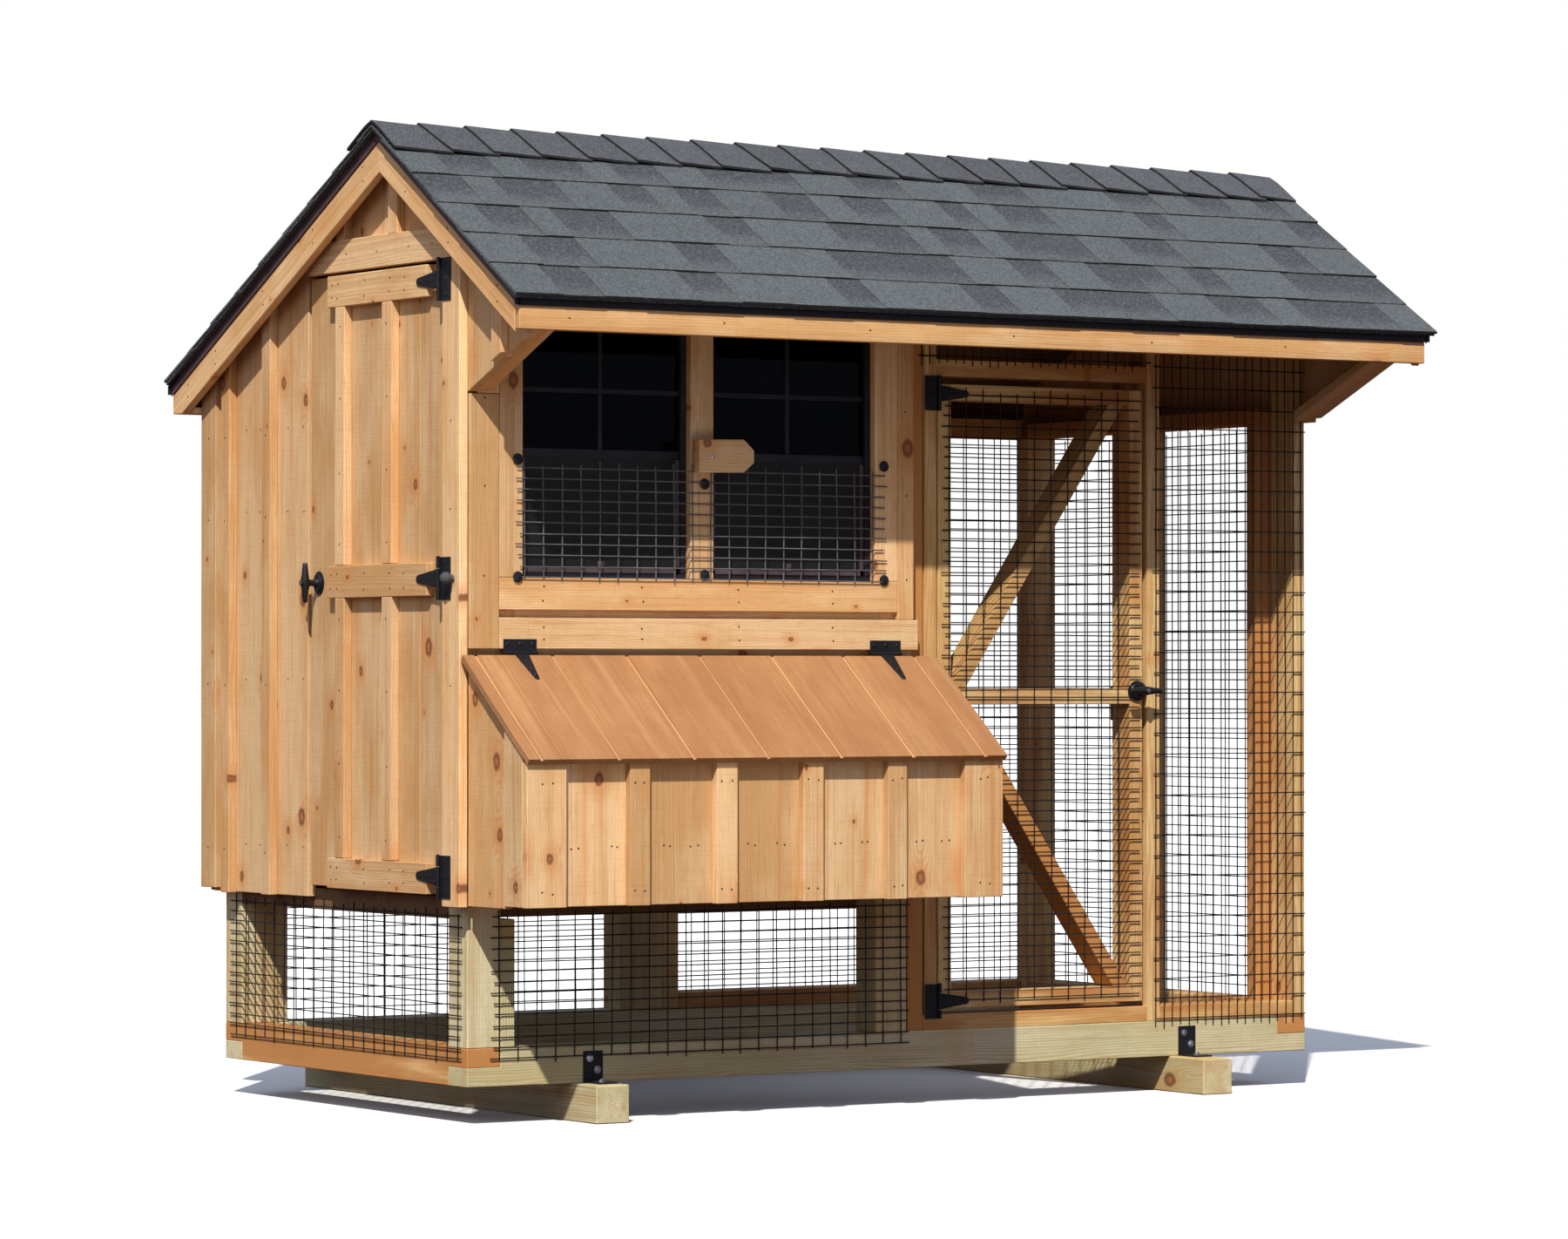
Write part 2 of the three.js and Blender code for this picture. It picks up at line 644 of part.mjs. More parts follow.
const wireFront = -wireThickness - 0.02;
const wireBottom = 6.45;
part('wire_lower_front', wirePanel(1, wireFront, [2.3, 48.3], [wireBottom, 19.7]), wireBlack);
part('wire_lower_left', wirePanel(0, wireFront, [0.8, 46.8], [wireBottom, 19.7]), wireBlack);
part('wire_lower_back', wirePanel(1, frameDepth + 0.02, [0.8, 47.8], [wireBottom, 19.7]), wireBlack);
part('wire_run_back', wirePanel(1, frameDepth + 0.02, [48.7, 96], [6.4, 66.4]), wireBlack);
part('wire_run_end', wirePanel(0, frameLength + 0.02, [0.3, 48], [6.4, 66.1]), wireBlack);
part('wire_run_front', wirePanel(1, wireFront, [77, 96], [6.4, 78.6]), wireBlack);
part('wire_over_door', wirePanel(1, wireFront, [49.2, 76.9], [70.5, 78.6]), wireBlack);

// The guard over the lower halves of the windows, held by six large washers.
const guardY = battenFace - 0.16;
const washerRadius = 0.52;
const guardPitch = 7;
const guardX = [3.9, 44.5];
const guardZ = [49.4, 60.6];
const washerY = [guardY - 0.06, guardY + 0.12];
const washers = [[4.2, 60.55], [24.2, 58.65], [44.2, 60.7], [4.2, 49.85], [24.2, 50.2], [44.2, 49.9]];
const guardNotch = block([buttonBlock.x[0] - 0.1, buttonBlock.x[1] + 0.1], [-3, 0],
  [buttonBlock.z[0] - 0.1, buttonBlock.z[1]]);
part('window_guard', cut(join([
  wirePanel(1, guardY, guardX, guardZ, guardPitch),
  ...washers.map(([x, z]) => rod(1, washerY, [x, 0, z], washerRadius, 20)),
]), [guardNotch]), wireBlack);

// ---------------------------------------------------------------- nest box

const nest = { left: -board, right: 49.2, front: -12.53, bottom: 20.25 };
const lidTop = { y: -2.1, z: 42.75 };
const lidSlope = 0.775;
const lidThickness = 0.6;
const lidRun = 12;
const lidAngle = Math.atan(lidSlope);
const lidUpright = lidThickness / Math.cos(lidAngle);
const lidUnderside = (y) => lidTop.z - lidUpright - (lidTop.y - y) * lidSlope;
const nestOuter = [-1.5, 49.9];
const nestFrontBattens = [
  [nestOuter[0], 2.6], [9.2, 11.3], [18.35, 20.6], [27.7, 29.9], [37, 39.1], [45.6, nestOuter[1]],
];
const nestCornerDepth = 4.1;
const dividerTop = 32;
const dividerHalf = 0.4;

function nestBox() {
  const back = boardFace - 0.08;
  const shellFront = nest.front;
  const topGap = 0.08;
  const sideOutline = (from, to) => [
    [from, nest.bottom],
    [to, nest.bottom],
    [to, lidUnderside(to) - topGap],
    [from, lidUnderside(from) - topGap],
  ];
  const bodies = [
    block([nest.left + overlap, nest.right], [shellFront, back], [nest.bottom, nest.bottom + board]),
    block([nest.left, nest.right], [shellFront, shellFront + board],
      [nest.bottom, lidUnderside(shellFront) - topGap]),
    prism(0, [nest.left, nest.left + board], sideOutline(shellFront, battenFace + 0.08)),
    prism(0, [nest.right - board, nest.right], sideOutline(shellFront, back)),
  ];
  for (const x of nestFrontBattens) {
    bodies.push(block(x, [shellFront - board, shellFront + overlap],
      [nest.bottom, lidUnderside(shellFront - board) - topGap]));
  }
  const corner = sideOutline(shellFront - board + 0.01, shellFront - board + nestCornerDepth);
  bodies.push(prism(0, [nestOuter[0], nest.left + overlap], corner));
  bodies.push(prism(0, [nest.right - overlap, nestOuter[1]], corner));
  const dividerCount = 3;
  const inner = nest.right - nest.left - 2 * board;
  for (let i = 1; i <= dividerCount; i += 1) {
    const x = nest.left + board + (i * inner) / (dividerCount + 1);
    bodies.push(block([x - dividerHalf, x + dividerHalf], [shellFront + overlap, back],
      [nest.bottom + overlap, dividerTop]));
  }
  return join(bodies);
}
part('nest_box', nestBox(), freshPine);

// The nest lid is one grooved panel. It is drawn flat and turned down to its slope about its top edge.
const lidX = [-1.7, 49.95];
const grooveWidth = 0.4;
const grooveDepth = 0.22;
const grooves = [7.7, 15.6, 23.5, 31.45, 39.4, 47.5];

function nestLid() {
  const outline = [[lidX[0], 0], [lidX[0], -lidThickness], [lidX[1], -lidThickness], [lidX[1], 0]];
  for (const x of [...grooves].reverse()) {
    outline.push([x + grooveWidth / 2, 0]);
    outline.push([x + grooveWidth / 2, -grooveDepth]);
    outline.push([x - grooveWidth / 2, -grooveDepth]);
    outline.push([x - grooveWidth / 2, 0]);
  }
  const shape = new THREE.Shape(outline.map(([x, t]) => new THREE.Vector2(toWorld(x, 0), t * INCH)));
  const length = (lidRun / Math.cos(lidAngle)) * INCH;
  const geometry = new THREE.ExtrudeGeometry(shape, { depth: length, bevelEnabled: false });
  geometry.rotateX(Math.PI / 2);
  geometry.rotateX(lidAngle);
  geometry.translate(0, toWorld(lidTop.y, 1), toWorld(lidTop.z, 2));
  return solid(geometry);
}
part('nest_lid', nestLid(), cedarPanel);

// ---------------------------------------------------------------- tee hinges

// The moving half of a tee hinge: a knuckle round the pin and a strap that tapers to a round end. It is
// drawn with the pin along Z at the origin and the strap along +X, lying on the plane y = seat.
const strapThickness = 0.1;
const knuckleRadius = 0.19;

function teeStrap({ length, rootHeight, tipHeight, knuckle, seat }) {
  const shape = new THREE.Shape();
  const root = rootHeight / 2;
  const tip = tipHeight / 2;
  shape.moveTo(0, -root);
  shape.lineTo(length - tip, -tip);
  shape.absarc(length - tip, 0, tip, -Math.PI / 2, Math.PI / 2, false);
  shape.lineTo(0, root);
  const extrusion = { depth: strapThickness, bevelEnabled: false, curveSegments: 6 };
  const plate = new THREE.ExtrudeGeometry(shape, extrusion);
  plate.rotateX(Math.PI / 2);
  plate.translate(0, seat, 0);
  const barrel = new THREE.CylinderGeometry(knuckleRadius, knuckleRadius, knuckle, 14);
  barrel.rotateX(Math.PI / 2);
  for (const geometry of [plate, barrel]) geometry.scale(INCH, INCH, INCH);
  return solid(plate).add(solid(barrel));
}

// Places a hinge half drawn at the origin: `turn` is a rotation matrix, `at` the pin's middle.
function placed(body, turn, at) {
  const matrix = turn.clone().setPosition(...at.map((value, axis) => toWorld(value, axis)));
  return body.transform(matrix.elements);
}

const basis = (x, y, z) => new THREE.Matrix4().makeBasis(
  new THREE.Vector3(...x), new THREE.Vector3(...y), new THREE.Vector3(...z));

const doorPin = { x: -1.97, y: 1.95 };
const doorStrap = { length: 4.4, rootHeight: 1.85, tipHeight: 0.75, knuckle: 1.9, seat: -0.12 };
const doorHingeHeights = { top: 76.9, middle: 49.7, bottom: 22.6 };
for (const [where, z] of Object.entries(doorHingeHeights)) {
  const turn = basis([0, 1, 0], [-1, 0, 0], [0, 0, 1]);
  part(`end_door_strap_${where}`,
    placed(teeStrap(doorStrap), turn, [doorPin.x, doorPin.y, z]), blackSteel);
}

const runPin = { x: 51.62, y: -0.36 };
const runStrap = { length: 3.5, rootHeight: 1.6, tipHeight: 0.65, knuckle: 1.7, seat: 0.22 };
const runHingeHeights = { top: 67.9, bottom: 9.75 };
for (const [where, z] of Object.entries(runHingeHeights)) {
  const turn = new THREE.Matrix4();
  part(`run_door_strap_${where}`, placed(teeStrap(runStrap), turn, [runPin.x, runPin.y, z]), blackSteel);
}

const lidPin = { y: -1.97, z: 42.95 };
const lidStrap = { length: 3.9, rootHeight: 1.5, tipHeight: 0.5, knuckle: 1.6, seat: 0.04 };
for (const [side, x] of [['left', 4.47], ['right', 44.4]]) {
  const down = [0, -Math.cos(lidAngle), -Math.sin(lidAngle)];
  const outward = [0, -Math.sin(lidAngle), Math.cos(lidAngle)];
  const turn = basis(down, outward, [-1, 0, 0]);
  part(`lid_strap_${side}`, placed(teeStrap(lidStrap), turn, [x, lidPin.y, lidPin.z]), blackSteel);
}

// ---------------------------------------------------------------- end door

const endDoor = { y: [2.1, 28.6], z: [20.9, 78.5] };
const endLatch = { y: 26.9, z: 49.65 };
const spindleRadius = 0.2;
const spindleHole = 0.26;
const ledge = { y: [4.55, 23.8], z: [[20.9, 23.75], [48.15, 51.2], [75.5, 78.45]] };
const doorBattens = [[11.25, 13.1], [20.45, 22.25]];

function endDoorPanel() {
  const bodies = [block(boardLayer, endDoor.y, endDoor.z)];
  for (const z of ledge.z) bodies.push(block(battenLayer, ledge.y, z));
  for (const y of doorBattens) {
    bodies.push(block(battenLayer, y, [ledge.z[0][1] - overlap, ledge.z[2][0] + overlap]));
  }
  return cut(join(bodies), [rod(0, [-2, 1], [0, endLatch.y, endLatch.z], spindleHole)]);
}
part('end_door', endDoorPanel(), freshPine);

// A T-handle: a round-ended bar on a stem, with a collar against the door's face, a spindle through the
// door and the tongue that the spindle turns behind the frame. It stands outward, toward the lower
// coordinates of `axis`; the tongue hangs straight down when the latch is open.
const handleReach = 1.55;
const handleHalf = 1.6;
const tongueDrop = 2.9;

function teeHandle({ axis, barAlong, face, tongueAt, centre }) {
  const sideways = axis === 0 ? 1 : 0;
  const barCentre = [...centre];
  barCentre[axis] = face - handleReach;
  const tongue = [0, 0, [centre[2] - tongueDrop, centre[2] + 0.4]];
  tongue[axis] = [tongueAt, tongueAt + 0.25];
  tongue[sideways] = [centre[sideways] - 0.35, centre[sideways] + 0.35];
  const bodies = [
    rod(axis, [face - handleReach, face - 0.12], centre, 0.3),
    rod(axis, [face - 0.4, face - 0.13], centre, 0.62, 20),
    rod(axis, [face - 0.2, tongueAt + 0.2], centre, spindleRadius),
    rod(barAlong, [centre[barAlong] - handleHalf, centre[barAlong] + handleHalf], barCentre, 0.24),
    block(...tongue),
  ];
  for (const end of [-handleHalf, handleHalf]) {
    const at = [...barCentre];
    at[barAlong] += end;
    const tip = new THREE.SphereGeometry(0.3 * INCH, 12, 8);
    tip.translate(...at.map((value, index) => toWorld(value, index)));
    bodies.push(solid(tip));
  }
  return join(bodies);
}
part('end_door_handle', teeHandle({
  axis: 0, barAlong: 2, face: boardFace, tongueAt: 0.1, centre: [0, endLatch.y, endLatch.z],
}), blackSteel);

// ---------------------------------------------------------------- run door

const runDoor = { x: [51.7, 75.9], z: [9, 68.85] };
const runDoorDepth = [0, 3];
const runRails = [[9, 10.5], [38.1, 39.6], [67.35, 68.85]];
const runLatch = { x: 75.15, z: 39.4 };

// A brace between two points of the door's frame, as wide as a 2x4 is thick.
function doorBrace(from, to) {
  const direction = new THREE.Vector2(to[0] - from[0], to[1] - from[1]).normalize();
  const side = new THREE.Vector2(-direction.y, direction.x).multiplyScalar(stud / 2);
  return prism(1, [0.05, runDoorDepth[1]], [
    [from[0] - side.x, from[1] - side.y],
    [to[0] - side.x, to[1] - side.y],
    [to[0] + side.x, to[1] + side.y],
    [from[0] + side.x, from[1] + side.y],
  ]);
}

function runDoorFrame() {
  const inside = [runDoor.x[0] + stud, runDoor.x[1] - stud];
  const bodies = [
    block([runDoor.x[0], inside[0]], runDoorDepth, runDoor.z),
    block([inside[1], runDoor.x[1]], runDoorDepth, runDoor.z),
  ];
  for (const z of runRails) bodies.push(block([inside[0] - overlap, inside[1] + overlap], runDoorDepth, z));
  const bounds = block([runDoor.x[0] + 0.5, runDoor.x[1] - 0.5], [0, 3.1], [9.5, 68.5]);
  bodies.push(doorBrace([52.6, 37.6], [74.2, 69.5]).intersect(bounds));
  bodies.push(doorBrace([52.8, 40.3], [74.5, 8.7]).intersect(bounds));
  return cut(join(bodies), [rod(1, [-1, 4], [runLatch.x, 0, runLatch.z], spindleHole)]);
}
part('run_door', runDoorFrame(), treatedPine);
part('wire_run_door', cut(wirePanel(1, wireFront, [52, 75.7], [9.4, 68.5]),
  [rod(1, [-1, 1], [runLatch.x, 0, runLatch.z], 0.75, 20)]), wireBlack);
part('run_door_handle', teeHandle({
  axis: 1, barAlong: 0, face: 0, tongueAt: post + 0.1, centre: [runLatch.x, 0, runLatch.z],
}), blackSteel);

// ---------------------------------------------------------------- turn button

const buttonLayer = [-3.72, -2.83];
const buttonScrew = 0.2;
part('turn_button', join([
  prism(1, buttonLayer, [
    [22.5, 59.65], [27.4, 59.65], [28.5, 60.6], [28.5, 61.75], [27.4, 62.8], [22.5, 62.8],
  ]),
  rod(1, [buttonLayer[0] - 0.06, buttonLayer[0] + 0.1], [buttonPivot[0], 0, buttonPivot[1]], buttonScrew, 12),
]), freshPine);

// ---------------------------------------------------------------- inside

const roostY = [34, 35.5];
part('roost_bar', block([0, houseLength], roostY, [46, 47.5]), innerWood);

// The pop hole's ramp is also its door. It stands shut against the partition and hinges down into the
// run about a pin at its lower outer edge; its cleats then face up.
const rampX = [partition[1] + 0.05, partition[1] + 0.85];
const rampY = [28, 40];
const rampZ = [19.2, 44.4];
const rampPin = { x: rampX[1] + 0.15, z: 19 };
const rampCleats = 5;
const cleatPitch = 4;
const cleatX = [rampX[0] - 0.6, rampX[0] + overlap];
const cleatY = [popHole.y[0] + 0.5, popHole.y[1] - 0.5];

function rampDoor() {
  const bodies = [
    block(rampX, rampY, rampZ),
    rod(1, [rampY[0] + 1, rampY[1] - 1], [rampPin.x, 0, rampPin.z], 0.2, 14),
    block([rampX[1] - 0.1, rampPin.x + 0.1], [rampY[0] + 1, rampY[1] - 1], [rampPin.z, rampPin.z + 1.6]),
  ];
  for (let i = 0; i < rampCleats; i += 1) {
    const z = popHole.z[0] + 1.5 + i * cleatPitch;
    bodies.push(block(cleatX, cleatY, [z, z + 1]));
  }
  return join(bodies);
}
part('ramp_door', rampDoor(), innerWood);

export default coop;
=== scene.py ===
import math
import random

import bmesh
import bpy
from mathutils import Matrix, Vector


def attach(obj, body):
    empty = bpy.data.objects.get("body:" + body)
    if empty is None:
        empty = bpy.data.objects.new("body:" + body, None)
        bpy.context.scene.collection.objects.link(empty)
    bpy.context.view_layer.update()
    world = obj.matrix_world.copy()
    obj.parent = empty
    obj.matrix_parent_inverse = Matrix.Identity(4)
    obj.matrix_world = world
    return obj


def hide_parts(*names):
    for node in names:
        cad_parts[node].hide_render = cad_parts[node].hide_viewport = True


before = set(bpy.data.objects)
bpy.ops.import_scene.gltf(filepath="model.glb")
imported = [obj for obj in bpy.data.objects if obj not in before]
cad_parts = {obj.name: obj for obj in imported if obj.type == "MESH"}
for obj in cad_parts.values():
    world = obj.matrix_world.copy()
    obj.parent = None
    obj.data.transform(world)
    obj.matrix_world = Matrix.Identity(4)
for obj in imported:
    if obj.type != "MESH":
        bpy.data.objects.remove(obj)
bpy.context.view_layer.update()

# The looks of a timber chicken coop. Drawing positions are in inches, as in the CAD: x from the
# frame's left end, y behind its front face, z above the ground. at() turns them into metres.

INCH = 0.0254
ORIGIN = Vector((48.0, 18.8, 0.0))
dice = random.Random(7)

LENGTH = 96.0
DEPTH = 48.0
POST = 3.5
STUD = 1.5
BOARD = 0.87
SILL_BOTTOM = 3.5
SILL_TOP = 7.0
PLATE_TOP = 8.5
SIDING_BOTTOM = 19.8
RIDGE_Y = 10.9
RIDGE_Z = 90.2
FRONT_SLOPE = 0.64
BACK_SLOPE = 0.513
EAVE_FRONT = -15.8
EAVE_BACK = 53.4
ROOF_X = (-4.07, 100.07)
RAKE_REACH = 3.23
FASCIA_FACE = -15.0
FASCIA_BOTTOM = 71.5
RAKE_BACK = 53.2
RAKE_DEPTH = 2.9
SOFFIT = 66.6
FRONT_FACE = -BOARD
TRIM_FACE = -2 * BOARD
FRONT_POST_TOP = 78.2
BACK_PLATE_BOTTOM = 66.1
FRONT_PLATE_TOP = 79.7

X, Y, Z = Matrix.Identity(3)


def at(x, y, z):
    return (Vector((x, y, z)) - ORIGIN) * INCH


def placed(name, data):
    """A new object in the scene."""
    made = bpy.data.objects.new(name, data)
    bpy.context.scene.collection.objects.link(made)
    return made


def roof_z(y):
    """Underside of the roof deck."""
    if y < RIDGE_Y:
        return RIDGE_Z - (RIDGE_Y - y) * FRONT_SLOPE
    return RIDGE_Z - (y - RIDGE_Y) * BACK_SLOPE


# ---------------- nodes

class Nodes:
    """A node tree, with short calls for its nodes."""

    def __init__(self, tree):
        self.tree = tree

    def node(self, kind, inputs, **settings):
        made = self.tree.nodes.new("ShaderNode" + kind)
        for key, value in settings.items():
            setattr(made, key, value)
        for key, value in inputs.items():
            if isinstance(value, bpy.types.NodeSocket):
                self.tree.links.new(value, made.inputs[key])
            else:
                made.inputs[key].default_value = value
        return made

    def math(self, operation, a, b=0.0):
        return self.node("Math", {0: a, 1: b}, operation=operation).outputs[0]

    def times(self, a, b):
        return self.math("MULTIPLY", a, b)

    def sum_of(self, a, factor, b):
        """a times factor, plus b."""
        return self.node("Math", {0: a, 1: factor, 2: b}, operation="MULTIPLY_ADD").outputs[0]

    def scaled(self, vector, factors):
        """A vector times one factor, or times a factor for each direction."""
        each = factors if isinstance(factors, tuple) else (factors,) * 3
        return self.node("VectorMath", {0: vector, 1: each}, operation="MULTIPLY").outputs[0]

    def noise(self, vector, factors, detail=2.0, rough=0.5):
        stretched = self.scaled(vector, factors)
        return self.node("TexNoise", {"Vector": stretched, "Scale": 1.0, "Detail": detail,
                                      "Roughness": rough}).outputs["Fac"]

    def step(self, value, low, high):
        """0 at low, 1 at high, smooth between."""
        return self.node("MapRange", {"Value": value, "From Min": low, "From Max": high},
                         interpolation_type="SMOOTHSTEP").outputs[0]

    def mix(self, factor, a, b, mode="MIX"):
        colour = [value if isinstance(value, bpy.types.NodeSocket) else (*value, 1.0) for value in (a, b)]
        return self.node("Mix", {0: factor, 6: colour[0], 7: colour[1]}, data_type="RGBA",
                         blend_type=mode).outputs[2]

    def over(self, colour, mask, share, other):
        """The colour, with a share of another one laid over it where the mask is."""
        return self.mix(self.times(mask, share), colour, other)

    def place(self):
        return self.node("TexCoord", {}).outputs["Object"]

    def stored(self):
        """The grain coordinates and the tone that boards and shingles carry."""
        grain = self.node("Attribute", {}, attribute_name="grain").outputs["Vector"]
        return grain, self.node("Attribute", {}, attribute_name="tone").outputs["Fac"]


class Shader(Nodes):
    """A node material."""

    def __init__(self, name, roughness, metallic=0.0):
        self.material = bpy.data.materials.new(name)
        self.material.use_nodes = True
        super().__init__(self.material.node_tree)
        self.bsdf = self.tree.nodes["Principled BSDF"]
        self.bsdf.inputs["Roughness"].default_value = roughness
        self.bsdf.inputs["Metallic"].default_value = metallic

    def set(self, socket, value):
        self.tree.links.new(value, self.bsdf.inputs[socket])

    def bump(self, height, strength, distance):
        made = self.node("Bump", {"Height": height, "Strength": strength, "Distance": distance})
        self.set("Normal", made.outputs[0])


def tinted(colour, *factors):
    """A colour times one factor, or times a factor for each channel."""
    return tuple(value * factors[k % len(factors)] for k, value in enumerate(colour))


KNOT = (0.34, 0.105, 0.025)
KNOT_RIM = (0.10, 0.030, 0.010)


def wood(name, pale, warm, streak, stain=None, knots=0.25, roughness=0.72, rings=0.22, on_board=True):
    """Sawn timber. Boards carry their own grain coordinates; a CAD solid takes them from its place.
    The grain's first coordinate runs along the board, the second across it, the third into it."""
    s = Shader(name, roughness)
    if on_board:
        grain, tone = s.stored()
    else:
        grain = s.place()
        tone = s.noise(grain, (0.4, 3.0, 3.0))

    # Knots: the nearest of scattered points, kept for some of them only.
    knots_per_metre = (3.0, 9.0)
    flat = s.scaled(grain, (1.0, 1.0, 0.0))
    cells = s.node("TexVoronoi", {"Vector": s.scaled(flat, (*knots_per_metre, 0.0)), "Scale": 1.0},
                   voronoi_dimensions="2D")
    centre = s.scaled(cells.outputs["Position"], (1 / knots_per_metre[0], 1 / knots_per_metre[1], 0.0))
    offset = s.node("VectorMath", {0: flat, 1: centre}, operation="SUBTRACT").outputs[0]
    squashed = s.scaled(offset, (0.72, 1.0, 0.0))
    away = s.node("VectorMath", {0: squashed}, operation="LENGTH").outputs["Value"]
    away = s.sum_of(s.noise(grain, 70.0), 0.006, away)
    luck = s.node("SeparateColor", {0: cells.outputs["Color"]}).outputs
    present = s.step(luck[0], 1.0 - knots - 0.02, 1.0 - knots)
    inside = s.math("DIVIDE", away, s.sum_of(s.times(luck[1], luck[1]), 0.013, 0.0045))
    knot = s.times(s.step(inside, 1.15, 0.8), present)
    rim = s.times(s.times(s.step(inside, 1.5, 1.0), s.step(inside, 0.5, 1.0)), present)
    halo = s.times(s.step(inside, 4.5, 1.0), present)

    # Growth rings about a pith outside the board, bent round the knots.
    parts = s.node("SeparateXYZ", {0: grain}).outputs
    across = s.sum_of(s.noise(grain, (1.3, 3.0, 3.0)), 0.05, parts[1])
    through = s.sum_of(halo, 0.012, parts[2])
    radius = s.math("SQRT", s.math("ADD", s.times(across, across), s.times(through, through)))
    ring = s.times(s.step(s.math("SINE", s.times(radius, 1150.0)), -0.6, 1.0), rings)
    streaks = s.noise(grain, (1.1, 38.0, 38.0), 4.0, 0.55)
    fibre = s.noise(grain, (22.0, 520.0, 520.0), 2.0, 0.6)
    blotch = s.noise(grain, (3.0, 9.0, 9.0), 3.0, 0.6)
    saw = s.noise(grain, (300.0, 9.0, 9.0), 1.0)
    lines = s.noise(grain, (2.2, 130.0, 130.0), 3.0, 0.6)

    deep = tinted(warm, 0.62, 0.48, 0.38)
    hue = s.math("FRACT", s.times(tone, 7.3))
    warmth = s.sum_of(s.math("SUBTRACT", hue, 0.5), 0.30, blotch)
    colour = s.mix(s.step(warmth, 0.32, 0.68), pale, warm)
    if stain:
        wide = s.noise(grain, (1.7, 14.0, 14.0), 3.0, 0.6)
        share = s.sum_of(s.math("SUBTRACT", tone, 0.5), 0.5, wide)
        colour = s.over(colour, s.step(share, 0.36, 0.66), 0.9, stain)
    colour = s.over(colour, s.step(streaks, 0.48, 0.8), 0.75, streak)
    colour = s.mix(ring, colour, deep)
    colour = s.over(colour, s.step(fibre, 0.48, 0.78), 0.42, deep)
    colour = s.over(colour, s.step(saw, 0.48, 0.72), 0.10, deep)
    colour = s.over(colour, s.step(lines, 0.52, 0.74), 0.42, deep)
    shade = s.sum_of(tone, 0.27, 0.83)
    grey = s.node("CombineColor", {0: shade, 1: shade, 2: shade}).outputs[0]
    colour = s.mix(1.0, colour, grey, "MULTIPLY")
    colour = s.over(colour, halo, 0.5, tinted(warm, 0.88, 0.58, 0.36))
    colour = s.over(colour, knot, 0.85, KNOT)
    s.set("Base Color", s.over(colour, rim, 0.75, KNOT_RIM))
    s.bump(s.math("ADD", s.times(saw, 0.6), s.sum_of(knot, -0.4, fibre)), 0.4, 0.0012)
    return s.material


def coated_metal(name, colour, roughness, speckle=0.3, metallic=0.0):
    s = Shader(name, roughness, metallic)
    s.bsdf.inputs["Specular IOR Level"].default_value = 0.3
    place = s.place()
    fine = s.noise(place, 900.0)
    wear = s.noise(place, 14.0, 3.0)
    worn = tuple(c * 2.4 + 0.006 for c in colour)
    s.set("Base Color", s.over(colour, s.step(wear, 0.45, 0.75), speckle, worn))
    s.set("Roughness", s.sum_of(wear, 0.25, roughness - 0.1))
    s.bump(fine, 0.12, 0.0004)
    return s.material


def asphalt(name, light, dark):
    """Mineral granules. Each tab has its own shade, and the dark ones fade towards their lower edge."""
    s = Shader(name, 0.93)
    grain, tone = s.stored()
    up = s.node("SeparateXYZ", {0: grain}).outputs[0]
    place = s.place()
    blotch = s.noise(place, 26.0, 3.0)
    mottle = s.noise(place, 140.0, 3.0, 0.7)
    granule = s.node("TexVoronoi", {"Vector": place, "Scale": 420.0}).outputs["Color"]
    speck = s.node("SeparateColor", {0: granule}).outputs[0]
    fade = s.sum_of(blotch, 0.55, s.step(up, -0.005, 0.13))
    fade = s.sum_of(s.math("SUBTRACT", tone, 0.75), 0.9, fade)
    darkness = s.times(s.step(tone, 0.50, 0.56), s.step(fade, 0.25, 1.0))
    plain = s.mix(s.step(blotch, 0.3, 0.75), tinted(light, 0.84), light)
    plain = s.over(plain, s.step(tone, 0.5, 0.0), 0.25, tinted(light, 1.3))
    colour = s.mix(darkness, plain, dark)
    colour = s.over(colour, s.step(mottle, 0.5, 0.78), 0.75, tinted(light, 1.9))
    colour = s.over(colour, s.step(mottle, 0.5, 0.22), 0.75, tinted(dark, 0.5))
    colour = s.over(colour, s.step(speck, 0.6, 1.0), 0.45, tinted(light, 2.1))
    colour = s.over(colour, s.step(speck, 0.4, 0.0), 0.5, tinted(dark, 0.4))
    s.set("Base Color", colour)
    s.bump(speck, 0.6, 0.0015)
    return s.material


def shade_tinted_glass(name):
    s = Shader(name, 0.03)
    place = s.place()
    # The grey base colour tints what is seen through the pane dark: painted shade of the room behind.
    s.set("Base Color", s.mix(s.noise(place, 5.0), (0.16, 0.17, 0.18), (0.22, 0.23, 0.24)))
    s.bsdf.inputs["Transmission Weight"].default_value = 1.0
    s.bsdf.inputs["IOR"].default_value = 1.2
    s.bump(s.noise(place, 3.0), 0.03, 0.002)
    return s.material


def insect_screen(name):
    """Woven dark screen, seen as a see-through cloth of fine threads; its black is partly painted shade of
    the dark room behind.
    """
    s = Shader(name, 0.6)
    dust = s.step(s.noise(s.place(), (9.0, 9.0, 3.0), 3.0), 0.4, 0.8)
    s.set("Base Color", s.mix(dust, (0.0015, 0.0018, 0.002), (0.0045, 0.005, 0.0055)))
    s.bsdf.inputs["Alpha"].default_value = 0.86
    return s.material


